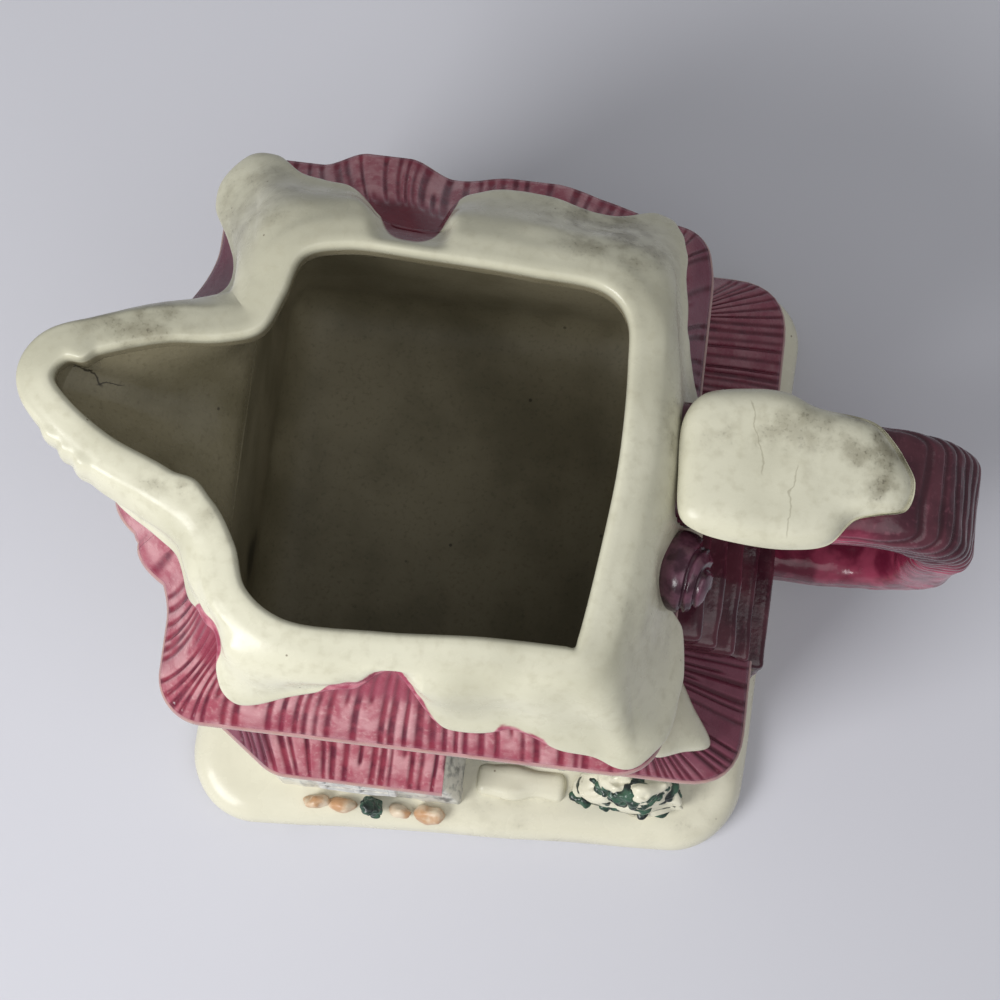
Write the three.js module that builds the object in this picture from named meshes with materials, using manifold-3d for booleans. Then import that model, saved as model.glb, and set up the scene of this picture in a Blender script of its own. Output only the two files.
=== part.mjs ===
// A cottage-shaped ceramic creamer under snow. The slip-cast house is the jug: its roof opens into the mouth,
// a pinched spout leaves one end and a brick handle the other, and it all stands on a snowy yard.
// Millimetres, +Z up. X runs from the spout to the handle, and Y from the front of the house to its back.
import * as THREE from "three";
import { mergeVertices } from "three/addons/utils/BufferGeometryUtils.js";
import Module from "manifold-3d";

const wasm = await Module();
wasm.setup();

// Joint between two luted pieces, and the least joint where two curved skins follow each other
const LUTE = 0.3;
const LEAST_LUTE = 0.24;

// House walls, measured outside
const HOUSE_X = 80;
const HOUSE_Y = 91;
const WALL = 4.2;
const WALL_HEIGHT = 62;
const WALL_CORNER = 6;
const FLOOR = 4;

// Yard slab: how far it reaches past each wall, how far its front corner at the handle end is drawn in,
// its edge and the ring it stands on
const BASE_HEIGHT = 8;
const BASE_FRONT = 19.5;
const BASE_BACK = 11.5;
const BASE_SPOUT_END = 5;
const BASE_HANDLE_END = 28;
const BASE_CORNER = 14;
const BASE_DRAWN_IN_X = 3;
const BASE_DRAWN_IN_Y = 5;
const BASE_EDGE = 2.5;
const FOOT_RING = 8;
const FOOT_RECESS = 4;

// Main roof, with deeper eaves at the front and the back than at its ends
const EAVE_OVERHANG = 3.5;
const FRONT_OVERHANG = 5;
const EAVE_THICK = 2.6;
const EAVE_CORNER = 8;
const ROOF_RISE = 17.4;
const RIB_PITCH = 2.7;
const RIB_DEPTH = 0.7;

// Eyebrow dormers swell the eave: where their middles are along the front and the back
const DORMER_HALF_WIDTH = 11;
const DORMER_RISE = 5;
const DORMER_SWELL = 2.6;
const BACK_DORMERS = [-17, 13];
const FRONT_DORMERS = [-12, 17];

// Mouth, lip and spout
const MOUTH_X = 57;
const MOUTH_Y = 63;
const MOUTH_CORNER = 6;
const MOUTH_FORWARD = 1.5;
const LIP = 6;
const LIP_RISE = 5;
const LIP_INSIDE_HEIGHT = 3;
const LIP_OUTSIDE_HEIGHT = 1.5;
const SPOUT_REACH = 70;
const SPOUT_WIDTH = 37;
const SPOUT_SWEEP = 48;
const SPOUT_FILLET = 5;
const SPOUT_FILLET_POWER = 6;
const SPOUT_LIFT = 2;
const SPOUT_PART = 1;

// Snow on the roof: its thickness, how far up the slope its edge lies, and the bare patches where it slid.
// A patch is centred on the eave, with its reach along the eave and how much further up the slope it goes.
const SNOW = 2.2;
const SNOW_EDGE = 0.12;
const SNOW_EDGE_ROUND = 0.2;
const BARE_PATCHES = [
  { side: "front", along: -5, reach: 15, height: 0.62 },
  { side: "front", along: 17, reach: 11, height: 0.16 },
  { side: "spout", along: -43, reach: 13, height: 0.6 },
  { side: "spout", along: 0, reach: 26, height: 0.62 },
  { side: "spout", along: 27, reach: 9, height: 0.35 },
  { side: "back", along: -10, reach: 9, height: 0.72 },
  { side: "back", along: 13, reach: 14, height: 0.2 },
  { side: "handle", along: 31, reach: 16, height: 0.36 },
];

// Handle: a brick loop from the roof out and back to the chimney breast
const HANDLE_REACH = 95;
const HANDLE_WIDTH = 21;
const HANDLE_THICK = 11;
const HANDLE_OFF_MIDDLE = 2.5;
const HANDLE_DROP = 3;
const HANDLE_FOOT = 26;
const HANDLE_BEND = 22;
const HANDLE_EDGE = 3.5;
const BRICK_COURSE = 6;
const MORTAR = 0.9;
const MORTAR_DEPTH = 0.5;
const SECTION_CORNER = 3;

// Snow cap on the upper arm of the handle
const HANDLE_SNOW_LENGTH = 39;
const HANDLE_SNOW_WIDTH = 25;
const HANDLE_SNOW_HEIGHT = 6;
const HANDLE_SNOW_START = 1;
const HANDLE_SNOW_SQUARENESS = 0.55;
const HANDLE_SNOW_TAPER = 0.32;
const HANDLE_SNOW_LAYERS = [
  { inset: 1.2, height: 0 },
  { inset: 0, height: 0.25 },
  { inset: 1.4, height: 0.75 },
  { inset: 5, height: 1 },
];

// Chimney breast against the handle end of the house, stepping back course by course
const BREAST_WIDTH = 42;
const BREAST_OFF_MIDDLE = -6;
const BREAST_FOOT = 23;
const BREAST_HEAD = 9;
const BREAST_SHOULDER = 36;
const BREAST_STEPS = 4;
const BREAST_STEP_IN = 1.2;

// Lump of brickwork in the angle between roof and handle
const KNUCKLE_X = 13;
const KNUCKLE_Y = 17;
const KNUCKLE_Z = 14;
const KNUCKLE_PROUD = 2.5;
const KNUCKLE_DROP = 11;

// Lean-to sheds on both sides of the chimney breast
const SHED_DEPTH = 16;
const SHED_BELOW_EAVE = 7.3;
const SHED_OVERHANG = 3.5;
const SHED_EDGE = 2.2;
const SHED_RISE = 14.5;
const SHED_HIP = 8;
const BACK_SHED_SHORT = 4;
const SHED_SNOW_X = 9;
const SHED_SNOW_Y = 16;
const SHED_SNOW_HEIGHT = 2.4;

// Porch bay on the front wall: canted back to the wall near the corner, square towards the door
const PORCH_FROM_CORNER = 16;
const PORCH_FROM_DOOR = 2.3;
const PORCH_CANT = 11;
const PORCH_DEPTH = 9.5;
const PORCH_BELOW_EAVE = 6;
const PORCH_BATTER = 2;
const PORCH_END_BATTER = 5;
const PORCH_OVERHANG = 1.7;
const PORCH_EDGE = 2;
const PORCH_RISE = 12;
const PORCH_HIP = 6;

// Windows and door
const WINDOW_WIDTH = 15;
const WINDOW_HEIGHT = 18;
const WINDOW_BELOW_PORCH = 4;
const WINDOW_BAR = 1.8;
const WINDOW_PROUD = 1.4;
const PANE_PROUD = 0.9;
const BACK_WINDOWS = [-17, 13];
const END_WINDOW_FROM_MIDDLE = 22;
const SPOUT_END_WINDOWS = [-END_WINDOW_FROM_MIDDLE, END_WINDOW_FROM_MIDDLE];
const DOOR_FROM_CORNER = 19;
const DOOR_WIDTH = 13;
const DOOR_HEIGHT = 29;
const DOOR_PROUD = 1.2;
const DOOR_FRAME = 2.2;
const DOOR_FRAME_PROUD = 2;
const STEP_DEPTH = 6;
const STEP_HEIGHT = 2.4;

// Yard: stones and a bush in a row before the porch, and a snow-laden bush at the corner
const STONE_ROW_ASIDE = 2;
const STONE_GAP = 0.6;
const STONE_COUNT = 5;
const STONE_X = 5;
const STONE_Y = 4.4;
const STONE_HEIGHT = 5;
const BUSH_PLACE = 2;
const BUSH_HEIGHT = 14;
const CORNER_BUSH_X = 22;
const CORNER_BUSH_Y = 8;
const CORNER_BUSH_HEIGHT = 11;
const CORNER_BUSH_FROM_DOOR = 1.8;
const CORNER_SNOW_HEIGHT = 6;
const CORNER_SNOW_SHARE = 0.86;

// Round stretches: points to a quarter turn
const QUARTER = 6;
const SWEEP_QUARTER = 4;

// Levels and half sizes that follow from the sizes above
const YARD = BASE_HEIGHT;
const SOFFIT = YARD + WALL_HEIGHT;
const EAVE_TOP = SOFFIT + EAVE_THICK;
const ROOF_TOP = EAVE_TOP + ROOF_RISE;
const WALL_X = HOUSE_X / 2;
const WALL_Y = HOUSE_Y / 2;
const EAVE_X = WALL_X + EAVE_OVERHANG;
const EAVE_Y = WALL_Y + FRONT_OVERHANG;
const HANDLE_TOP = ROOF_TOP - HANDLE_DROP;
const SHED_WALL_HEIGHT = WALL_HEIGHT - SHED_BELOW_EAVE - SHED_RISE - SHED_EDGE;
const PORCH_WALL_HEIGHT = WALL_HEIGHT - PORCH_BELOW_EAVE - PORCH_RISE - PORCH_EDGE;
const DOORWAY_HALF = DOOR_WIDTH / 2 + DOOR_FRAME;
const DOOR_MIDDLE = WALL_X - DOOR_FROM_CORNER;
const PORCH_LEFT = PORCH_FROM_CORNER - WALL_X;
const PORCH_RIGHT = DOOR_MIDDLE - DOORWAY_HALF - PORCH_FROM_DOOR - PORCH_END_BATTER;
const PORCH_MIDDLE = (PORCH_LEFT + PORCH_RIGHT) / 2;
const WINDOW_SILL = PORCH_WALL_HEIGHT - WINDOW_BELOW_PORCH - WINDOW_HEIGHT;

// Glazes
const SNOW_GLAZE = { color: 0xe0dcc6, roughness: 0.22 };
const ROOF_GLAZE = { color: 0xb0485f, roughness: 0.25 };
const BRICK_GLAZE = { color: 0x7d2238, roughness: 0.22 };
const PLUM_GLAZE = { color: 0x6b2b3c, roughness: 0.25 };
const WALL_GLAZE = { color: 0xd9d2c0, roughness: 0.3 };
const TIMBER_GLAZE = { color: 0x5b4434, roughness: 0.35 };
const PANE_GLAZE = { color: 0x8a7a3c, roughness: 0.25 };
const LEAF_GLAZE = { color: 0x1f3a2c, roughness: 0.3 };
const STONE_GLAZE = { color: 0xb58a5c, roughness: 0.35 };

// The part's origin is on the table, under the middle of the whole object; the house has its own middle
const creamer = new THREE.Group();
const house = new THREE.Group();
house.position.set((SPOUT_REACH - HANDLE_REACH) / 2, (BASE_FRONT - BASE_BACK) / 2, 0);
creamer.add(house);

// Adds one named piece with a glaze of its own
function addPiece(name, geometry, glaze, parent = house) {
  const mesh = new THREE.Mesh(geometry, new THREE.MeshStandardMaterial({ ...glaze, metalness: 0 }));
  mesh.name = name;
  parent.add(mesh);
  return mesh;
}

// Closed geometry to a solid that can be joined and cut, and back again
function solidOf(geometry) {
  const bare = geometry.clone();
  bare.deleteAttribute("normal");
  bare.deleteAttribute("uv");
  const merged = mergeVertices(bare);
  const vertProperties = merged.attributes.position.array;
  const triVerts = new Uint32Array(merged.index.array);
  return new wasm.Manifold(new wasm.Mesh({ numProp: 3, vertProperties, triVerts }));
}

function geometryOf(solid) {
  const mesh = solid.getMesh();
  const geometry = new THREE.BufferGeometry();
  geometry.setAttribute("position", new THREE.BufferAttribute(mesh.vertProperties, 3));
  geometry.setIndex(new THREE.BufferAttribute(mesh.triVerts, 1));
  geometry.computeVertexNormals();
  return geometry;
}

// A box between two corners
function boxBetween(low, high) {
  const size = new THREE.Vector3().subVectors(high, low);
  const middle = new THREE.Vector3().addVectors(low, high).multiplyScalar(0.5);
  return new THREE.BoxGeometry(size.x, size.y, size.z).translate(middle.x, middle.y, middle.z);
}

// Stitches outlines of equally many points into one closed skin with its faces out. A ring's last outline
// joins its first, and any other stack is closed by a fan over each end.
function stitch(outlines, isRing = false) {
  const count = outlines[0].length;
  const points = outlines.flat();
  const faces = [];
  const bands = isRing ? outlines.length : outlines.length - 1;
  for (let band = 0; band < bands; band++) {
    const low = band * count;
    const high = ((band + 1) % outlines.length) * count;
    for (let i = 0; i < count; i++) {
      const j = (i + 1) % count;
      faces.push([low + i, low + j, high + j], [low + i, high + j, high + i]);
    }
  }
  if (!isRing) {
    for (const [outline, start, isFirst] of [
      [outlines[0], 0, true],
      [outlines.at(-1), (outlines.length - 1) * count, false],
    ]) {
      const hub = points.length;
      const middle = outline.reduce((sum, p) => sum.add(p), new THREE.Vector3()).divideScalar(count);
      points.push(middle);
      for (let i = 0; i < count; i++) {
        const j = (i + 1) % count;
        faces.push(isFirst ? [hub, start + j, start + i] : [hub, start + i, start + j]);
      }
    }
  }
  const volume = faces.reduce((sum, [a, b, c]) => {
    return sum + points[a].dot(new THREE.Vector3().crossVectors(points[b], points[c]));
  }, 0);
  const turned = volume < 0 ? faces.map(([a, b, c]) => [a, c, b]) : faces;
  const geometry = new THREE.BufferGeometry().setFromPoints(points);
  geometry.setIndex(turned.flat());
  geometry.computeVertexNormals();
  return geometry;
}

// A rectangle with round corners, walked anticlockwise from the handle end, with its outward directions.
// With the same steps, outlines of different sizes have matching points.
function roundRectangle(halfX, halfY, radius, steps) {
  const runX = halfX - radius;
  const runY = halfY - radius;
  const sides = [
    { from: [halfX, -runY], to: [halfX, runY], steps: steps.y, hub: [runX, runY] },
    { from: [runX, halfY], to: [-runX, halfY], steps: steps.x, hub: [-runX, runY] },
    { from: [-halfX, runY], to: [-halfX, -runY], steps: steps.y, hub: [-runX, -runY] },
    { from: [-runX, -halfY], to: [runX, -halfY], steps: steps.x, hub: [runX, -runY] },
  ];
  const points = [];
  sides.forEach((side, turn) => {
    const facing = new THREE.Vector2(1, 0).rotateAround(new THREE.Vector2(), (turn * Math.PI) / 2);
    for (let i = 0; i < side.steps; i++) {
      const share = i / side.steps;
      const at = new THREE.Vector2(...side.from).lerp(new THREE.Vector2(...side.to), share);
      points.push({ at, out: facing, side: turn, share });
    }
    for (let i = 0; i < steps.corner; i++) {
      const angle = ((turn + i / steps.corner) * Math.PI) / 2;
      const out = new THREE.Vector2(Math.cos(angle), Math.sin(angle));
      points.push({ at: new THREE.Vector2(...side.hub).addScaledVector(out, radius), out });
    }
  });
  return points;
}

// A plan outline raised to one level
function atLevel(outline, z, middle = new THREE.Vector2()) {
  return outline.map(({ at }) => new THREE.Vector3(at.x + middle.x, at.y + middle.y, z));
}

// Roof ribs counted round the eave; each rib takes this many points
function ribSteps(pointsPerRib) {
  const ribs = (length) => Math.max(2, Math.round(length / RIB_PITCH)) * pointsPerRib;
  return {
    x: ribs(2 * (EAVE_X - EAVE_CORNER)),
    y: ribs(2 * (EAVE_Y - EAVE_CORNER)),
    corner: ribs((EAVE_CORNER * Math.PI) / 2),
  };
}

// The mouth's outline, moved outwards by some of the lip: a rectangle with its end drawn out into the spout
const SPOUT_END = 2;
function mouthOutline(outwards, steps) {
  const halfX = MOUTH_X / 2 + outwards;
  const halfY = MOUTH_Y / 2 + outwards;
  const corner = MOUTH_CORNER + outwards;
  const sideRun = halfY - corner;
  const reach = SPOUT_REACH - LIP - MOUTH_X / 2;
  const halfWidth = SPOUT_WIDTH / 2 - LIP + outwards;
  const fillet = Math.min(SPOUT_FILLET, (sideRun - halfWidth) / 2);
  const sweep = (EAVE_Y - EAVE_CORNER) / (SPOUT_SWEEP / 2);
  return roundRectangle(halfX, halfY, corner, steps).map(({ at, out, side, share }) => {
    const point = { at: at.clone(), out, lift: 0 };
    if (side === SPOUT_END) {
      const across = (1 - 2 * share) * sweep;
      const hand = Math.sign(across);
      const far = Math.abs(across);
      if (far <= 1) {
        const angle = (far * Math.PI) / 2;
        const flare = fillet * far ** SPOUT_FILLET_POWER;
        point.at.set(-halfX - reach * Math.cos(angle), hand * (halfWidth * Math.sin(angle) + flare));
        point.lift = SPOUT_LIFT * Math.cos(angle);
      } else {
        const start = halfWidth + fillet;
        point.at.y = hand * THREE.MathUtils.lerp(start, sideRun, (far - 1) / (sweep - 1));
      }
    }
    point.at.y -= MOUTH_FORWARD;
    return point;
  });
}

// A smooth bump that falls from 1 to 0 over its reach
function bump(distance, reach) {
  return distance < reach ? Math.cos((distance / reach) * (Math.PI / 2)) ** 2 : 0;
}

// Eave points swell out and up at the eyebrow dormers
function dormerSwell({ at }) {
  const middles = at.y > 0 ? BACK_DORMERS : FRONT_DORMERS;
  const isEnd = Math.abs(at.y) < EAVE_Y - EAVE_CORNER;
  return isEnd ? 0 : Math.max(...middles.map((middle) => bump(Math.abs(at.x - middle), DORMER_HALF_WIDTH)));
}

// The roof's sloping skin from the eave (0) to the flat under the lip (1), moved outwards by a lift
function roofSkin(steps) {
  const eave = roundRectangle(EAVE_X, EAVE_Y, EAVE_CORNER, steps);
  const rim = mouthOutline(LIP - SNOW, steps);
  const count = eave.length;
  const foot = eave.map((point) => {
    const swell = dormerSwell(point);
    const isBack = point.at.y > 0;
    const plan = point.at.clone().addScaledVector(point.out, isBack ? DORMER_SWELL * swell : 0);
    return new THREE.Vector3(plan.x, plan.y, EAVE_TOP + DORMER_RISE * swell);
  });
  const head = rim.map(({ at, lift }) => new THREE.Vector3(at.x, at.y, ROOF_TOP + lift));
  const onSlope = (i, share) => foot[i].clone().lerp(head[i], share);
  const normal = (i, share) => {
    const along = onSlope((i + 1) % count, share).sub(onSlope((i + count - 1) % count, share));
    const up = head[i].clone().sub(foot[i]);
    return along.cross(up).normalize();
  };
  const at = (i, share, lift) => onSlope(i, share).addScaledVector(normal(i, share), lift);
  return { eave, foot, head, normal, at };
}

// Roof shell as one ring: soffit, eave edge, ribbed slope, flat under the lip and the slope inside.
// The ribs fade out towards the flat. The shell can be grown on the side where the snow lies.
function roofShell(grow = 0) {
  const steps = ribSteps(2);
  const skin = roofSkin(steps);
  const inner = roundRectangle(WALL_X - WALL, WALL_Y - WALL, WALL_CORNER - WALL, steps);
  const mouth = mouthOutline(0, steps);
  const groove = (i) => grow - (i % 2 ? RIB_DEPTH : 0);
  return stitch(
    [
      atLevel(inner, SOFFIT),
      skin.foot.map((p, i) => {
        const { out } = skin.eave[i];
        return new THREE.Vector3(p.x + out.x * groove(i), p.y + out.y * groove(i), SOFFIT);
      }),
      skin.foot.map((p, i) => skin.at(i, 0, groove(i))),
      skin.head.map((p, i) => skin.at(i, 1, grow).setZ(p.z + grow)),
      mouth.map(({ at, lift }) => new THREE.Vector3(at.x, at.y, ROOF_TOP + lift + grow)),
    ],
    true,
  );
}

// Snow over the roof and round the lip, with a wavy lower edge
function roofSnow() {
  const steps = ribSteps(1);
  const skin = roofSkin(steps);
  const ends = { front: [0, -EAVE_Y], back: [0, EAVE_Y], spout: [-EAVE_X, 0], handle: [EAVE_X, 0] };
  const edge = skin.eave.map(({ at }) => {
    return BARE_PATCHES.reduce((share, { side, along, reach, height }) => {
      const [x, y] = ends[side];
      const distance = at.distanceTo(new THREE.Vector2(x || along, y || along));
      return Math.max(share, SNOW_EDGE + height * bump(distance, reach));
    }, SNOW_EDGE);
  });
  const crest = mouthOutline(LIP / 2, steps);
  const outside = mouthOutline(LIP, steps);
  const mouth = mouthOutline(0, steps);
  const lipRing = (outline, height) => {
    return outline.map(({ at, lift }) => new THREE.Vector3(at.x, at.y, ROOF_TOP + lift + height));
  };
  const underLip = skin.head.map((p, i) => {
    const both = skin.normal(i, 1).add(new THREE.Vector3(0, 0, 1));
    return p.clone().addScaledVector(both, LUTE / both.z);
  });
  return stitch(
    [
      edge.map((share, i) => skin.at(i, share, LUTE)),
      edge.map((share, i) => skin.at(i, share, SNOW / 2)),
      edge.map((share, i) => skin.at(i, THREE.MathUtils.lerp(share, 1, SNOW_EDGE_ROUND), SNOW)),
      lipRing(outside, LIP_OUTSIDE_HEIGHT),
      lipRing(crest, LIP_RISE),
      lipRing(mouth, LIP_INSIDE_HEIGHT),
      lipRing(mouth, LUTE),
      underLip,
    ],
    true,
  );
}

// The house as it fills the roof and the snow on it, for cutting what is seated against it
function houseEnvelope() {
  const steps = { x: 2, y: 2, corner: QUARTER };
  const grow = SNOW + LUTE;
  const eave = roundRectangle(EAVE_X + grow, EAVE_Y + grow, EAVE_CORNER + grow, steps);
  const rim = roundRectangle(MOUTH_X / 2 + LIP, MOUTH_Y / 2 + LIP, MOUTH_CORNER + LIP, steps);
  const aside = new THREE.Vector2(0, -MOUTH_FORWARD);
  const outlines = [
    atLevel(eave, 0),
    atLevel(eave, EAVE_TOP),
    atLevel(rim, ROOF_TOP + LIP, aside),
    atLevel(rim, 2 * ROOF_TOP, aside),
  ];
  return solidOf(stitch(outlines));
}

function addBase() {
  const halfX = (HOUSE_X + BASE_SPOUT_END + BASE_HANDLE_END) / 2;
  const halfY = (HOUSE_Y + BASE_FRONT + BASE_BACK) / 2;
  const middle = new THREE.Vector2((BASE_HANDLE_END - BASE_SPOUT_END) / 2, (BASE_BACK - BASE_FRONT) / 2);
  const steps = { x: 1, y: 1, corner: QUARTER };
  const drawIn = (point) => {
    const along = Math.max(0, halfX - BASE_CORNER + point.x - middle.x) / (2 * halfX - BASE_CORNER);
    const share = (along * (1 - (point.y - middle.y) / halfY)) / 2;
    return point.add(new THREE.Vector3(-BASE_DRAWN_IN_X * share, BASE_DRAWN_IN_Y * share, 0));
  };
  const ring = (inset, z) => {
    const outline = roundRectangle(halfX - inset, halfY - inset, BASE_CORNER - inset, steps);
    return atLevel(outline, z, middle).map(drawIn);
  };
  const outlines = [
    ring(BASE_EDGE + FOOT_RING, FOOT_RECESS),
    ring(BASE_EDGE + FOOT_RING, 0),
    ring(BASE_EDGE, 0),
    ring(0, BASE_EDGE),
    ring(0, BASE_HEIGHT - BASE_EDGE),
    ring(BASE_EDGE, BASE_HEIGHT),
  ];
  addPiece("snow_base", stitch(outlines), SNOW_GLAZE);
}

function addWalls() {
  const steps = { x: 1, y: 1, corner: QUARTER };
  const outside = roundRectangle(WALL_X, WALL_Y, WALL_CORNER, steps);
  const inside = roundRectangle(WALL_X - WALL, WALL_Y - WALL, WALL_CORNER - WALL, steps);
  const outlines = [
    atLevel(outside, YARD),
    atLevel(outside, SOFFIT),
    atLevel(inside, SOFFIT),
    atLevel(inside, YARD + FLOOR),
  ];
  addPiece("house_walls", stitch(outlines), WALL_GLAZE);
}

// The roof shell is parted round the spout, a little outside the mouth's side, so the spout is its own piece
function addRoofAndSpout() {
  const shell = solidOf(roofShell());
  const partAt = -(MOUTH_X / 2 + LIP - SNOW + SPOUT_PART);
  const halfWidth = SPOUT_SWEEP / 2;
  const spoutSpace = (grow) => {
    const low = new THREE.Vector3(-2 * SPOUT_REACH, -halfWidth - grow, 0);
    const high = new THREE.Vector3(partAt + grow, halfWidth + grow, 2 * ROOF_TOP);
    return solidOf(boxBetween(low, high));
  };
  addPiece("main_roof", geometryOf(shell.subtract(spoutSpace(LUTE))), ROOF_GLAZE);
  addPiece("spout", geometryOf(shell.intersect(spoutSpace(0))), ROOF_GLAZE);
  const snow = solidOf(roofSnow()).subtract(solidOf(roofShell(LEAST_LUTE)).add(shell));
  addPiece("roof_snow", geometryOf(snow), SNOW_GLAZE);
}

// A section swept along the handle's line, with a mortar groove between the brick courses
function handleSweep() {
  const half = HANDLE_THICK / 2;
  const bend = HANDLE_BEND - half;
  const high = HANDLE_TOP - half;
  const low = HANDLE_FOOT + half;
  const outX = HANDLE_REACH - half;
  const line = new THREE.Path();
  line.moveTo(MOUTH_X / 2, high);
  line.lineTo(outX - bend, high);
  line.absarc(outX - bend, high - bend, bend, Math.PI / 2, 0, true);
  line.lineTo(outX, low + bend);
  line.absarc(outX - bend, low + bend, bend, 0, -Math.PI / 2, true);
  line.lineTo(WALL_X + BREAST_FOOT + LUTE, low);
  const length = line.getLength();
  const courses = Math.round(length / BRICK_COURSE);
  const steps = { x: 1, y: 1, corner: SECTION_CORNER };
  const section = (distance, inset) => {
    const share = THREE.MathUtils.clamp(distance / length, 0, 1);
    const at = line.getPointAt(share);
    const along = line.getTangentAt(share);
    const outline = roundRectangle(half - inset, HANDLE_WIDTH / 2 - inset, HANDLE_EDGE, steps);
    return outline.map(({ at: p }) => {
      const y = HANDLE_OFF_MIDDLE + p.y;
      return new THREE.Vector3(at.x - along.y * p.x, y, at.y + along.x * p.x);
    });
  };
  const sections = [section(0, 0)];
  for (let course = 1; course < courses; course++) {
    const joint = (course * length) / courses;
    sections.push(section(joint - MORTAR, 0), section(joint, MORTAR_DEPTH), section(joint + MORTAR, 0));
  }
  sections.push(section(length, 0));
  return stitch(sections);
}

function addHandle() {
  const envelope = houseEnvelope();
  const brick = solidOf(handleSweep()).subtract(envelope);
  addPiece("handle", geometryOf(brick), BRICK_GLAZE);

  // The cap is widest near the house and narrows to a round end
  const startX = WALL_X + HANDLE_SNOW_START;
  const count = 4 * QUARTER;
  const soft = (value) => Math.sign(value) * Math.abs(value) ** HANDLE_SNOW_SQUARENESS;
  const outlines = HANDLE_SNOW_LAYERS.map(({ inset, height }) => {
    const z = HANDLE_TOP + LUTE + height * HANDLE_SNOW_HEIGHT;
    return Array.from({ length: count }, (_, i) => {
      const angle = (i / count) * 2 * Math.PI;
      const along = (soft(Math.cos(angle)) + 1) / 2;
      const halfWidth = (HANDLE_SNOW_WIDTH / 2 - inset) * (1 - HANDLE_SNOW_TAPER * along ** 2);
      const x = startX + inset + along * (HANDLE_SNOW_LENGTH - 2 * inset);
      return new THREE.Vector3(x, HANDLE_OFF_MIDDLE + soft(Math.sin(angle)) * halfWidth, z);
    });
  });
  const cap = solidOf(stitch(outlines)).subtract(envelope);
  addPiece("handle_snow", geometryOf(cap), SNOW_GLAZE);

  // The lump sits in front of the handle, against the snow on the roof
  const front = HANDLE_OFF_MIDDLE - HANDLE_WIDTH / 2 - LUTE;
  const lump = new THREE.SphereGeometry(0.5, 4 * SWEEP_QUARTER, 2 * SWEEP_QUARTER);
  lump.scale(KNUCKLE_X, KNUCKLE_Y, KNUCKLE_Z);
  lump.translate(WALL_X + KNUCKLE_PROUD, front - KNUCKLE_Y / 2 + KNUCKLE_PROUD, ROOF_TOP - KNUCKLE_DROP);
  const low = new THREE.Vector3(0, front, 0);
  const high = new THREE.Vector3(HANDLE_REACH, front + HOUSE_Y, 2 * ROOF_TOP);
  const knuckle = solidOf(lump).subtract(envelope).subtract(solidOf(boxBetween(low, high)));
  addPiece("chimney_knuckle", geometryOf(knuckle), PLUM_GLAZE);
}

// Brick courses that step back towards the wall as they rise
function addChimneyBreast() {
  const top = SOFFIT - LUTE;
  const shoulder = YARD + BREAST_SHOULDER;
  let stack = null;
  for (let step = 0; step <= BREAST_STEPS; step++) {
    const share = step / BREAST_STEPS;
    const halfWidth = BREAST_WIDTH / 2 - step * BREAST_STEP_IN;
    const low = new THREE.Vector3(WALL_X + LUTE, BREAST_OFF_MIDDLE - halfWidth, YARD);
    const high = new THREE.Vector3(
      WALL_X + THREE.MathUtils.lerp(BREAST_FOOT, BREAST_HEAD, share),
      BREAST_OFF_MIDDLE + halfWidth,
      THREE.MathUtils.lerp(shoulder, top, share),
    );
    const course = solidOf(boxBetween(low, high));
    stack = stack ? stack.add(course) : course;
  }
  addPiece("chimney_breast", geometryOf(stack), BRICK_GLAZE);
}

// A ribbed roof against a wall. Along the wall it runs from 0 to its length, with a hip at each end or none,
// and its start may be canted. Each section has its foot at the wall, its eave at the depth and its top back
// at the wall.
function leanRoof({ length, depth, edge, rise, hipStart, hipEnd, cant = 0 }) {
  const ribs = Math.max(2, Math.round(length / RIB_PITCH));
  const sections = [];
  for (let i = 0; i <= 2 * ribs; i++) {
    const along = (i / (2 * ribs)) * length;
    const fromStart = hipStart ? Math.min(1, along / hipStart) : 1;
    const fromEnd = hipEnd ? Math.min(1, (length - along) / hipEnd) : 1;
    const groove = i % 2 ? RIB_DEPTH : 0;
    const reach = cant ? THREE.MathUtils.lerp(edge, depth, Math.min(1, along / cant)) : depth;
    const height = rise * Math.min(fromStart, fromEnd);
    sections.push([
      new THREE.Vector3(along, 0, 0),
      new THREE.Vector3(along, groove - reach, 0),
      new THREE.Vector3(along, groove - reach, edge - groove),
      new THREE.Vector3(along, 0, edge + height - groove),
    ]);
  }
  return stitch(sections);
}

// A group against a wall, with local X along the wall to the right, -Y out of the house and Z up
const WALLS = {
  front: { x: 0, y: -WALL_Y, turn: 0 },
  handle: { x: WALL_X, y: 0, turn: Math.PI / 2 },
  back: { x: 0, y: WALL_Y, turn: Math.PI },
  spout: { x: -WALL_X, y: 0, turn: -Math.PI / 2 },
};
function wallGroup(side) {
  const { x, y, turn } = WALLS[side];
  const group = new THREE.Group();
  group.position.set(x, y, 0);
  group.rotation.z = turn;
  house.add(group);
  return group;
}

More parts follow.
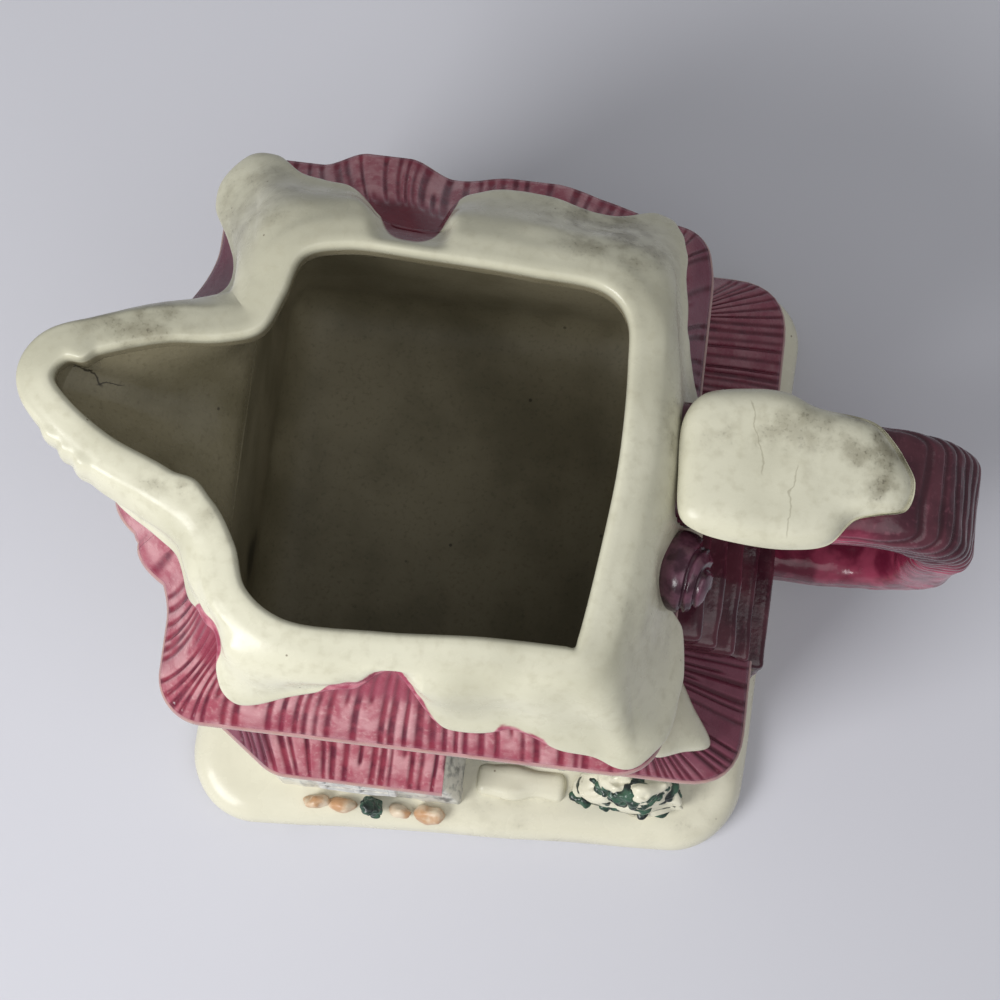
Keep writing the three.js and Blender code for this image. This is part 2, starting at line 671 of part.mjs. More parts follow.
// Sheds stand in front of and behind the chimney breast, against the handle end
function addSheds() {
  const group = wallGroup("handle");
  const breastFront = BREAST_OFF_MIDDLE - BREAST_WIDTH / 2 - LUTE;
  const breastBack = BREAST_OFF_MIDDLE + BREAST_WIDTH / 2 + LUTE;
  const sheds = [
    { name: "front_shed", from: -WALL_Y, to: breastFront, outStart: SHED_OVERHANG, outEnd: 0 },
    { name: "back_shed", from: breastBack, to: WALL_Y - BACK_SHED_SHORT, outStart: 0, outEnd: SHED_OVERHANG },
  ];
  const wallTop = YARD + SHED_WALL_HEIGHT;
  for (const { name, from, to, outStart, outEnd } of sheds) {
    const low = new THREE.Vector3(from, -SHED_DEPTH, YARD);
    const high = new THREE.Vector3(to, -LUTE, wallTop);
    addPiece(`${name}_walls`, boxBetween(low, high), WALL_GLAZE, group);
    const roof = leanRoof({
      length: to - from + outStart + outEnd,
      depth: SHED_DEPTH + SHED_OVERHANG - LUTE,
      edge: SHED_EDGE,
      rise: SHED_RISE,
      hipStart: outStart && SHED_HIP,
      hipEnd: outEnd && SHED_HIP,
    });
    roof.translate(from - outStart, -LUTE, wallTop);
    addPiece(`${name}_roof`, roof, PLUM_GLAZE, group);
  }

  // A drift lies on the front shed's slope, close under the main eave
  const slope = Math.atan2(SHED_RISE, SHED_DEPTH + SHED_OVERHANG - LUTE);
  const drift = dome(SHED_SNOW_Y, SHED_SNOW_X, SHED_SNOW_HEIGHT);
  const tilted = new THREE.Group();
  const down = EAVE_OVERHANG + SHED_SNOW_X / 2;
  const middle = (-WALL_Y + breastFront) / 2;
  const topZ = wallTop + SHED_EDGE + SHED_RISE - down * Math.tan(slope);
  tilted.position.set(middle, -LUTE - down - LUTE * Math.sin(slope), topZ + LUTE * Math.cos(slope));
  tilted.rotation.x = slope;
  group.add(tilted);
  addPiece("shed_snow", drift, SNOW_GLAZE, tilted);
}

// A dome with a flat foot, its width along X and depth along Y
function dome(width, depth, height) {
  const profile = [new THREE.Vector2(0, 0)];
  for (let i = 0; i <= QUARTER; i++) {
    const angle = (i / QUARTER) * (Math.PI / 2);
    profile.push(new THREE.Vector2(Math.cos(angle) / 2, i === QUARTER ? 1 : Math.sin(angle)));
  }
  profile[profile.length - 1].x = 0;
  const geometry = new THREE.LatheGeometry(profile, 4 * SWEEP_QUARTER);
  geometry.rotateX(Math.PI / 2);
  geometry.scale(width, depth, height);
  return geometry;
}

function addPorch() {
  const group = wallGroup("front");
  const wallTop = YARD + PORCH_WALL_HEIGHT;
  const section = (front, end, z) => [
    new THREE.Vector3(PORCH_LEFT - PORCH_CANT - front, -LUTE, z),
    new THREE.Vector3(PORCH_LEFT - front, -PORCH_DEPTH - front, z),
    new THREE.Vector3(PORCH_RIGHT + end, -PORCH_DEPTH - front, z),
    new THREE.Vector3(PORCH_RIGHT + end, -LUTE, z),
  ];
  const walls = stitch([section(PORCH_BATTER, PORCH_END_BATTER, YARD), section(0, 0, wallTop)]);
  addPiece("porch_walls", walls, WALL_GLAZE, group);
  const roof = leanRoof({
    length: PORCH_RIGHT - PORCH_LEFT + PORCH_CANT + 2 * PORCH_OVERHANG,
    depth: PORCH_DEPTH + PORCH_OVERHANG - LUTE,
    edge: PORCH_EDGE,
    rise: PORCH_RISE,
    hipStart: PORCH_HIP,
    hipEnd: 0,
    cant: PORCH_CANT + PORCH_OVERHANG,
  });
  roof.translate(PORCH_LEFT - PORCH_CANT - PORCH_OVERHANG, -LUTE, wallTop);
  addPiece("porch_roof", roof, ROOF_GLAZE, group);

  // Its window leans back with the battered wall
  const leaning = new THREE.Group();
  leaning.position.set(PORCH_MIDDLE, -PORCH_DEPTH - PORCH_BATTER, YARD);
  leaning.rotation.x = -Math.atan2(PORCH_BATTER, PORCH_WALL_HEIGHT);
  group.add(leaning);
  addWindow("porch_window", leaning, 0, 0);
}

// A window: a pane plate on the wall, and before it a frame with a cross of glazing bars
function addWindow(name, group, middle, floor) {
  const left = middle - WINDOW_WIDTH / 2;
  const sill = floor + WINDOW_SILL;
  const slab = (x, z, width, height, near, far) => {
    return boxBetween(new THREE.Vector3(x, -far, z), new THREE.Vector3(x + width, -near, z + height));
  };
  const paneFace = LUTE + PANE_PROUD;
  const panes = slab(left, sill, WINDOW_WIDTH, WINDOW_HEIGHT, LUTE, paneFace);
  addPiece(`${name}_panes`, panes, PANE_GLAZE, group);
  const near = paneFace + LUTE;
  const far = near + WINDOW_PROUD;
  const lightWidth = (WINDOW_WIDTH - 3 * WINDOW_BAR) / 2;
  const lightHeight = (WINDOW_HEIGHT - 3 * WINDOW_BAR) / 2;
  let frame = solidOf(slab(left, sill, WINDOW_WIDTH, WINDOW_HEIGHT, near, far));
  for (const x of [WINDOW_BAR, 2 * WINDOW_BAR + lightWidth]) {
    for (const z of [WINDOW_BAR, 2 * WINDOW_BAR + lightHeight]) {
      frame = frame.subtract(solidOf(slab(left + x, sill + z, lightWidth, lightHeight, 0, 2 * far)));
    }
  }
  addPiece(`${name}_frame`, geometryOf(frame), TIMBER_GLAZE, group);
}

function addWindows() {
  const back = wallGroup("back");
  BACK_WINDOWS.forEach((middle, i) => addWindow(`back_window_${i + 1}`, back, -middle, YARD));
  const spoutEnd = wallGroup("spout");
  SPOUT_END_WINDOWS.forEach((middle, i) => addWindow(`spout_end_window_${i + 1}`, spoutEnd, middle, YARD));
}

// An arched door in its frame, with a step before it
function addDoor() {
  const group = wallGroup("front");
  const upright = new THREE.Group();
  upright.position.set(DOOR_MIDDLE, -LUTE, YARD);
  upright.rotation.x = Math.PI / 2;
  group.add(upright);
  const arch = (path, half, foot) => {
    path.moveTo(-half, foot).lineTo(half, foot).lineTo(half, DOOR_HEIGHT - DOOR_WIDTH / 2);
    path.absarc(0, DOOR_HEIGHT - DOOR_WIDTH / 2, half, 0, Math.PI, false);
    return path;
  };
  const flat = (depth) => ({ depth, bevelEnabled: false, curveSegments: 2 * QUARTER });
  const half = DOOR_WIDTH / 2;
  const leaf = new THREE.ExtrudeGeometry(arch(new THREE.Shape(), half, 0), flat(DOOR_PROUD));
  addPiece("front_door", leaf, TIMBER_GLAZE, upright);
  const outside = arch(new THREE.Shape(), DOORWAY_HALF, 0);
  const inside = arch(new THREE.Shape(), half + LUTE, -DOOR_FRAME);
  const around = new THREE.ExtrudeGeometry(outside, flat(DOOR_FRAME_PROUD));
  const doorway = new THREE.ExtrudeGeometry(inside, flat(3 * DOOR_FRAME_PROUD));
  doorway.translate(0, 0, -DOOR_FRAME_PROUD);
  const frame = solidOf(around).subtract(solidOf(doorway));
  addPiece("front_door_frame", geometryOf(frame), WALL_GLAZE, upright);
  const near = -LUTE - DOOR_FRAME_PROUD - LUTE;
  const low = new THREE.Vector3(DOOR_MIDDLE - DOORWAY_HALF, near - STEP_DEPTH, YARD);
  const high = new THREE.Vector3(DOOR_MIDDLE + DOORWAY_HALF, near, YARD + STEP_HEIGHT);
  addPiece("door_step", boxBetween(low, high), STONE_GLAZE, group);
}

function addYard() {
  const group = wallGroup("front");
  const rowY = -PORCH_DEPTH - PORCH_BATTER - LUTE - STONE_Y / 2;
  let stone = 0;
  for (let i = 0; i < STONE_COUNT; i++) {
    const x = PORCH_MIDDLE + STONE_ROW_ASIDE + (i - (STONE_COUNT - 1) / 2) * (STONE_X + STONE_GAP);
    const isBush = i === BUSH_PLACE;
    if (!isBush) stone += 1;
    const geometry = dome(STONE_X, STONE_Y, isBush ? BUSH_HEIGHT : STONE_HEIGHT).translate(x, rowY, YARD);
    const name = isBush ? "porch_bush" : `yard_stone_${stone}`;
    addPiece(name, geometry, isBush ? LEAF_GLAZE : STONE_GLAZE, group);
  }

  // The corner bush is flat on top, under its load of snow
  const bushX = DOOR_MIDDLE + DOORWAY_HALF + CORNER_BUSH_FROM_DOOR + CORNER_BUSH_X / 2;
  const bushY = -LUTE - CORNER_BUSH_Y / 2;
  const wide = dome(CORNER_BUSH_X, CORNER_BUSH_Y, 2 * CORNER_BUSH_HEIGHT).translate(bushX, bushY, YARD);
  const low = new THREE.Vector3(bushX - CORNER_BUSH_X, bushY - CORNER_BUSH_Y, YARD + CORNER_BUSH_HEIGHT);
  const high = new THREE.Vector3(bushX + CORNER_BUSH_X, bushY + CORNER_BUSH_Y, YARD + 3 * CORNER_BUSH_HEIGHT);
  const bush = solidOf(wide).subtract(solidOf(boxBetween(low, high)));
  addPiece("corner_bush", geometryOf(bush), LEAF_GLAZE, group);
  const snow = dome(CORNER_SNOW_SHARE * CORNER_BUSH_X, CORNER_SNOW_SHARE * CORNER_BUSH_Y, CORNER_SNOW_HEIGHT);
  snow.translate(bushX, bushY, YARD + CORNER_BUSH_HEIGHT + LUTE);
  addPiece("corner_bush_snow", snow, SNOW_GLAZE, group);
}

addBase();
addWalls();
addRoofAndSpout();
addHandle();
addChimneyBreast();
addSheds();
addPorch();
addWindows();
addDoor();
addYard();

export default creamer;
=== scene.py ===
"""Looks of the cottage-shaped creamer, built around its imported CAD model.

Shapes are worked out in millimetres in the house's own frame: X runs from the spout to the handle, Y from
the front to the back, Z up from the table, and the origin is under the middle of the walls. A mesh is moved
into the row frame, in metres, when its object is made.
"""
import math

import bpy
import numpy as np
from mathutils import Matrix, Vector


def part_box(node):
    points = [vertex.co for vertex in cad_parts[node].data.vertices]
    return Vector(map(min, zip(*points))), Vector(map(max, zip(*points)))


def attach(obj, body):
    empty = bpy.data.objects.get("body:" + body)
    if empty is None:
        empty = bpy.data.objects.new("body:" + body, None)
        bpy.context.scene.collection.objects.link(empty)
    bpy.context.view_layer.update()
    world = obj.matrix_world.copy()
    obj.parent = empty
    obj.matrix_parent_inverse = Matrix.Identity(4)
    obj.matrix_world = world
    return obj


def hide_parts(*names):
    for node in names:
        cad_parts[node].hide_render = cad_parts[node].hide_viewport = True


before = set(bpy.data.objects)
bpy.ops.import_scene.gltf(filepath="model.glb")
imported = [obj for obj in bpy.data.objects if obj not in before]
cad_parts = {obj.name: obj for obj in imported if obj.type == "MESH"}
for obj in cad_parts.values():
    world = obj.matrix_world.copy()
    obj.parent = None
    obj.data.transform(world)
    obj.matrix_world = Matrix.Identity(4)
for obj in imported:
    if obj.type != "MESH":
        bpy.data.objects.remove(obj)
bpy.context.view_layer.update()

MM = 0.001


# Places and levels from the frame
def cad_corners(node):
    """A CAD node's lowest and highest corner in the row frame, in millimetres."""
    return np.array(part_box(node)) / MM


walls_low, walls_high = cad_corners("house_walls")
HOUSE_AT = (walls_low + walls_high) / 2 * (1, 1, 0)


def corners(node):
    """A CAD node's lowest and highest corner in the house's frame, in millimetres."""
    return cad_corners(node) - HOUSE_AT


WALL_X, WALL_Y = (walls_high - walls_low)[:2] / 2
YARD = walls_low[2]
SOFFIT = walls_high[2]
ROOF_LOW, ROOF_HIGH = corners("main_roof")
ROOF_TOP = ROOF_HIGH[2]

# House: its walls, the roundings inside it, and how deep a piece sits in the one that carries it
WALL = 4.2
WALL_CORNER = 6
FLOOR = 4
INSIDE_CORNER = 7
INSIDE_FILLET = 8
INSIDE_TURN = 4
RIM = SOFFIT - INSIDE_TURN
RIM_COVER = 0.6
RIM_GAP = 0.03
SUNK = 1.5

# Main roof: its eave, its ribs, and the counts of points round it, of the mouth's points to each of those,
# and of rows up its slope
EAVE_X = ROOF_HIGH[0]
EAVE_Y = -ROOF_LOW[1]
EAVE_CORNER = 8
EAVE_CUT = 2.3
EAVE_THICK = 2.6
EAVE_TOP = SOFFIT + EAVE_THICK
RIB_PITCH = 2.2
RIB_JITTER = 0.3
RIB_DEPTH = 0.42
RIB_WIDTHS = (0.2, 0.36)
RIB_WANDER = 0.4
RIB_CUT_SHORT = 0.12
RING = 1600
MOUTH_FINER = 4
SLOPE_ROWS = 34

# Eyebrow dormers swell the eave at the back: middle, reach and share of the full swell
DORMERS = [(-16, 12, 1), (10, 13, 0.5)]
DORMER_SWELL = 2.2
DORMER_RISE = 2.5
# Leaf-like lobes of the eave before the spout, and a corner that is rounder than the others, along the eave
LOBES = [(197.5, 4.5), (204.5, 4)]
LOBE_SWELL = 2.6
LOBED = (190, 210)
BLUNT_CORNER = (54, 18)
BLUNT = 3.4

# The mouth's inner edge with the spout, walked anticlockwise from the handle end
MOUTH = [
    (30.1, 0), (29.8, 16), (28.7, 24), (24.8, 28), (12, 29.4), (-6, 30.2), (-20, 30.3), (-26.6, 28),
    (-29, 21), (-32, 14.4), (-38, 11.9), (-48, 10.3), (-58, 6.9), (-63.8, 4.6), (-65, 2), (-62, -1.6),
    (-54.3, -6.8), (-44.6, -10.7), (-36.5, -15), (-31.6, -22), (-28.8, -29), (-22, -33.4), (-6, -33.6),
    (12, -32.4), (24.6, -32.3), (26.3, -32.3), (26.8, -30.4), (28.6, -17),
]
# Places on the eave from which the roof's lines come, and the places on the mouth to which they go
EAVE_TO_MOUTH = [
    ((EAVE_X, 0), (30.1, 0)),
    ((EAVE_X - EAVE_CUT, EAVE_Y - EAVE_CUT), (28, 25.5)),
    ((0, EAVE_Y), (0, 30)),
    ((EAVE_CUT - EAVE_X, EAVE_Y - EAVE_CUT), (-27.3, 26.5)),
    ((-EAVE_X, 24), (-33.5, 13.4)),
    ((-EAVE_X, 1), (-65, 2)),
    ((-EAVE_X, -22), (-38, -13.8)),
    ((EAVE_CUT - EAVE_X, EAVE_CUT - EAVE_Y), (-27.6, -30.4)),
    ((0, -EAVE_Y), (0, -33.3)),
    ((EAVE_X - EAVE_CUT, EAVE_CUT - EAVE_Y), (26, -30.6)),
]
# Which of those lines part the spout from the roof, and how the spout's lip rises towards its tip
SPOUT_BACK = 4
SPOUT_FRONT = 6
SPOUT_LIFT = 2
SPOUT_RISES = (32, 62)
# The eave flares out and up under the spout
FLARE = 13
FLARE_RISE = 7
FLARE_REACH = 34

# Snow on the roof: its thickness, how its edge rolls out, how much it swells towards the lip, and its edge as
# pairs of millimetres along the eave, from the middle of the handle end, and the share of slope left bare
SNOW = 2.2
SNOW_ROLL = 1.25
SNOW_ROLL_TURNS = (-75, -35, 5, 45, 80)
SNOW_SWELL = 2
SNOW_EDGE = [
    (0, -0.16), (8, -0.14), (12, 0), (17, 0.2), (23, 0.32), (30, 0.43), (37, 0.43), (48, 0.28),
    (52, 0.18), (55, 0.04), (59, 0.02), (61.5, 0.14), (64, 0.26), (71, 0.32), (80, 0.28), (87, 0.3),
    (92.5, 0.36), (94.6, 0.56), (95.8, 0.78), (97.4, 0.84), (107.5, 0.84), (110, 0.76), (112, 0.58),
    (114, 0.46), (122, 0.28), (125, 0.06), (130, -0.02), (139, -0.06), (142.5, -0.03), (145, 0.16),
    (148, 0.36), (151, 0.5), (157, 0.55), (159, 0.38), (161, 0.06), (178, 0.03), (192, 0.03),
    (194.5, 0.14), (197, 0.28), (201, 0.44), (207, 0.6), (210, 0.6), (214.5, 0.54), (218.5, 0.59),
    (224, 0.75), (228, 0.8), (232, 0.72), (236, 0.53), (239, 0.37), (242, 0.29), (246, 0.35), (250, 0.5),
    (257, 0.65), (261, 0.65), (264, 0.85), (268, 0.88), (272.5, 0.72), (275.5, 0.44), (278.5, 0.32),
    (284, 0.31), (290, 0.4), (293.5, 0.33), (297, 0.23), (305, 0.16), (310, 0.06), (316, 0.05),
    (321, -0.04), (327, -0.08), (333, -0.06), (339, 0), (340.5, 0.4), (346, 0.34), (350, 0.02),
    (353, -0.14),
]
# Stretches of eave where the bare roof is smooth: behind the spout and before it
SMOOTH_RUNS = [(138, 158), (190, 204)]
# Where the brush went over the snow's edge: stretches of eave, and how far
RIMS = [(224, 232, 3.2), (257, 263, 5.6), (267, 276, 2.4), (289, 295, 2.4)]
# Red glaze has pooled in a notch in the snow at the back: its stretch of eave, how far the lip sags and the
# snow's edge sinks there, and from what share of the slope it covers the roof
POOL_RUN = (97, 111)
POOL_SAG = 4.8
POOL_SUNK = 0.6
POOL_FROM = 0.62
# The pool's edge on the lip: its middle, half width, how near it comes to the mouth and how it bends away
NOTCH_X = -9.6
NOTCH_HALF = 6.2
NOTCH_LIP = 2.4
NOTCH_ROUND = 7
# Dirt and painted shade on the lip: plan place, reach and strength
GRIME_AND_SHADE = [(-52, 13, 13, 0.8), (-38, 40, 14, 0.5), (-43, -13, 6, 0.9), (-34, -19, 6, 0.5)]
# Lumps of glaze on the spout's lip: plan place, reach, and how far they push the lip inwards and up
LIP_LUMPS = [
    (-61.2, 7.4, 3.2, 1.6, 0.6), (-65.4, -8.8, 2.8, -0.9, 0.4), (-62.2, -10.8, 2.2, -0.8, 0.4),
    (-58.8, -12.4, 2.6, -0.7, 0.4), (-40, -13.4, 4, 0.8, 0.3),
]
# Section of the lip: outwards from the mouth's edge, and height above the roof's top
LIP = [(6.2, 2.8), (4.7, 3.6), (3.0, 4.1), (1.5, 4.4), (0.6, 4.3), (0.05, 3.7), (-0.1, 2.4), (0.6, -3.5)]
LIP_ROOT = 3.8
LIP_OVER = 2.6


# Numbers and curves
def lattice(cell):
    """A fixed random number from 0 to 1 for each cell of a grid."""
    mixed = cell[..., 0] * 73856093 ^ cell[..., 1] * 19349663 ^ cell[..., 2] * 83492791
    mixed = ((mixed ^ (mixed >> 13)) * 1274126177) & 0x7FFFFFFF
    mixed = ((mixed ^ (mixed >> 15)) * 668265263) & 0x7FFFFFFF
    return mixed / 0x7FFFFFFF


def noise(points, size, seed):
    """Smooth noise from -1 to 1 at points, with lumps of about this size."""
    grid = np.asarray(points, float) / size + 31.7 * seed
    cell = np.floor(grid).astype(np.int64)
    part = grid - cell
    eased = part * part * (3 - 2 * part)
    total = 0
    for corner in np.ndindex(2, 2, 2):
        weight = np.prod(np.where(corner, eased, 1 - eased), axis=-1)
        total = total + weight * lattice(cell + corner)
    return 2 * total - 1


def ease(value, start, end):
    """0 before start and 1 after end, with a smooth change between them."""
    part = np.clip((np.asarray(value, float) - start) / (end - start), 0, 1)
    return part * part * (3 - 2 * part)


def bump(value, start, end, soft=3):
    """1 between start and end and 0 outside them, with soft ends."""
    return ease(value, start - soft, start) * ease(value, end + soft, end)


def mix(a, b, share):
    return a + (b - a) * share


def norm(vectors):
    return np.linalg.norm(vectors, axis=-1)


def unit(vectors):
    return vectors / norm(vectors)[..., None]


def smooth_ring(values, width):
    """Values round a ring, blurred over this many places."""
    frequency = np.fft.fftfreq(len(values))
    kernel = np.exp(-2 * (np.pi * frequency * width) ** 2)
    shape = (-1,) + (1,) * (np.ndim(values) - 1)
    return np.real(np.fft.ifft(np.fft.fft(values, axis=0) * kernel.reshape(shape), axis=0))


def curve(points, steps, closed=False):
    """A smooth curve through points, or through rows of points, with this many steps to a stretch."""
    points = np.asarray(points, float)
    if closed:
        padded = np.concatenate([points[-1:], points, points[:2]])
    else:
        padded = np.concatenate([2 * points[:1] - points[1:2], points, 2 * points[-1:] - points[-2:-1]])
    gaps = np.sqrt(norm(np.diff(padded, axis=0)))[..., None] + 1e-6
    rows = []
    for i in range(1, len(padded) - 2):
        before, start, end, after = padded[i - 1:i + 3]
        first, gap, last = gaps[i - 1:i + 2]
        leave = gap * ((start - before) / first - (end - before) / (first + gap) + (end - start) / gap)
        arrive = gap * ((end - start) / gap - (after - start) / (gap + last) + (after - end) / last)
        for u in np.arange(steps) / steps:
            rows.append(
                (2 * u ** 3 - 3 * u ** 2 + 1) * start + (u ** 3 - 2 * u ** 2 + u) * leave
                + (3 * u ** 2 - 2 * u ** 3) * end + (u ** 3 - u ** 2) * arrive
            )
    if not closed:
        rows.append(points[-1])
    return np.array(rows)


def distances(line):
    """How far along a line its points are."""
    return np.append(0, np.cumsum(norm(np.diff(line, axis=0))))


def resample(line, count, closed=True):
    """A line of points as this many equally spaced ones."""
    line = np.asarray(line, float)
    if closed:
        line = np.concatenate([line, line[:1]])
    run = distances(line)
    at = np.linspace(0, run[-1], count, endpoint=not closed)
    return np.stack([np.interp(at, run, column) for column in line.T], axis=1)


def round_rectangle(half_x, half_y, radius, count, middle=(0, 0)):
    """Points of a rectangle with round corners, anticlockwise from the middle of its +X side."""
    outline = [(half_x, 0)]
    for side_x, side_y, start in ((1, 1, 0), (-1, 1, 90), (-1, -1, 180), (1, -1, 270)):
        for turn in np.radians(np.linspace(start, start + 90, 25)):
            x = side_x * (half_x - radius) + radius * math.cos(turn)
            y = side_y * (half_y - radius) + radius * math.sin(turn)
            outline.append((x, y))
    return resample(outline, count) + middle


def rounded(points, radius, closed=True):
    """A line of points with its corners rounded off."""
    points = np.array(points, float)
    ends = 0 if closed else 1
    line = []
    for i in range(ends, len(points) - ends):
        here = points[i]
        start = here + unit(points[i - 1] - here) * radius
        end = here + unit(points[(i + 1) % len(points)] - here) * radius
        for share in np.linspace(0, 1, 9):
            line.append(mix(mix(start, here, share), mix(here, end, share), share))
    return np.array(line if closed else [points[0], *line, points[-1]])


def ways(line, closed=True):
    """The ways along a line at its points."""
    if closed:
        return np.roll(line, -1, axis=0) - np.roll(line, 1, axis=0)
    return np.gradient(line, axis=0)


def outward(outline, closed=True):
    """Outward directions of an anticlockwise outline."""
    along = ways(outline, closed)
    return unit(np.stack([along[:, 1], -along[:, 0]], axis=1))


def level(outline, z):
    """A plan outline as points at a height."""
    return np.column_stack([outline, np.broadcast_to(np.asarray(z, float), (len(outline),))])


def push(points, out, amount, up=0):
    """Points moved by an amount along plan directions, and up."""
    return points + level(out * np.asarray(amount)[..., None], up)


# Meshes
class Skin:
    """Points, faces and named values at the points."""

    def __init__(self, points, faces, values=None):
        self.points = points
        self.faces = faces
        self.values = values or {}


def grid_faces(index):
    """Four-sided faces between the rows of a grid of point numbers."""
    corner_lists = [index[:-1, :-1], index[:-1, 1:], index[1:, 1:], index[1:, :-1]]
    return np.stack(corner_lists, axis=-1).reshape(-1, 4)


def loft(rows, ring=False, closed=True, values=None):
    """One closed skin over rows of points. Rows are closed, or form a ring, or both; open ends get fans."""
    rows = np.asarray(rows, float)
    count, width = rows.shape[:2]
    index = np.arange(count * width).reshape(count, width)
    down = np.concatenate([index, index[:1]]) if ring else index
    across = np.concatenate([down, down[:, :1]], axis=1) if closed else down
    faces = grid_faces(across).tolist()
    points = rows.reshape(-1, 3)
    values = {name: np.broadcast_to(value, (count, width)).ravel() for name, value in (values or {}).items()}
    ends = []
    if not ring:
        ends = [index[0][::-1], index[-1]]
    elif not closed:
        ends = [index[:, 0], index[::-1, -1]]
    for end in ends:
        hub = len(points)
        points = np.concatenate([points, points[end].mean(axis=0, keepdims=True)])
        values = {name: np.append(value, value[end].mean()) for name, value in values.items()}
        faces += [[hub, int(a), int(b)] for a, b in zip(end, np.roll(end, -1))]
    return Skin(points, faces, values)


def rounded_box(low, high, radius, step):
    """A box with round edges and a grid of points on its faces, and the directions out of its faces."""
    bend = radius * np.array([0, 0.12, 0.35, 0.65, 1])
    axes = []
    for start, end in zip(low, high):
        flat = np.linspace(start + radius, end - radius, max(2, int((end - start) / step)))
        axes.append(np.concatenate([start + bend[:-1], flat, end - bend[-2::-1]]))
    grid = np.stack(np.meshgrid(*axes, indexing="ij"), axis=-1)
    index = np.full(grid.shape[:3], -1)
    shell = np.ones(grid.shape[:3], bool)
    shell[1:-1, 1:-1, 1:-1] = False
    index[shell] = np.arange(shell.sum())
    inner = np.clip(grid[shell], np.add(low, radius), np.subtract(high, radius))
    out = unit(grid[shell] - inner)
    faces = []
    for axis in range(3):
        for end, turn in ((0, -1), (-1, 1)):
            quads = grid_faces(np.take(index, end, axis=axis).T)
            faces += quads.tolist() if (turn > 0) != (axis == 1) else quads[:, ::-1].tolist()
    return Skin(inner + radius * out, faces), out


def join(skins):
    """Several skins as one."""
    points = np.concatenate([skin.points for skin in skins])
    values = {name: np.concatenate([skin.values[name] for skin in skins]) for name in skins[0].values}
    faces = []
    start = 0
    for skin in skins:
        faces += [[start + corner for corner in face] for face in skin.faces]
        start += len(skin.points)
    return Skin(points, faces, values)


def volume(skin):
    """Signed volume, which is negative where the faces point inwards."""
    fans = np.array([(face[0], b, c) for face in skin.faces for b, c in zip(face[1:], face[2:])])
    a, b, c = (skin.points[corner] for corner in fans.T)
    return np.sum(a * np.cross(b, c))


def add_object(name, data):
    thing = bpy.data.objects.new(name, data)
    bpy.context.scene.collection.objects.link(thing)
    return thing


def add_piece(name, skin, glaze):
    """Makes the object of a skin, in the row frame, standing for the CAD node of its name."""
    faces = skin.faces if volume(skin) > 0 else [face[::-1] for face in skin.faces]
    mesh = bpy.data.meshes.new(name)
    mesh.from_pydata(((skin.points + HOUSE_AT) * MM).tolist(), [], faces)
    mesh.polygons.foreach_set("use_smooth", [True] * len(mesh.polygons))
    for key, value in skin.values.items():
        mesh.attributes.new(key, "FLOAT", "POINT").data.foreach_set("value", value.astype(np.float32))
    mesh.materials.append(GLAZES[glaze])
    piece = add_object(f"look_{name}", mesh)
    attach(piece, "root")
    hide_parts(name)


# Glazes. A Mix node's sockets for colours go by number, because its other sockets have the same names.
MIX_A = 6
MIX_B = 7
MIX_RESULT = 2
BUMP_DEPTH = 0.3
# Cracks in the glaze, as plan places from and to
CRACK_HALF = 0.2
CRACK_WAVER = 1.2
HANDLE_CRACKS = [((51, 12), (54, 1)), ((59.5, 2), (59, -9))]
SPOUT_CRACKS = [((-63.4, 5.2), (-60.2, 5.5)), ((-60.2, 5.5), (-58.7, 3.6)), ((-58.7, 3.6), (-55.8, 3.9))]


def colour(code):
    """A linear colour from a hex code."""
    parts = [int(code[i:i + 2], 16) / 255 for i in (0, 2, 4)]
    return tuple(p / 12.92 if p <= 0.04045 else ((p + 0.055) / 1.055) ** 2.4 for p in parts) + (1.0,)


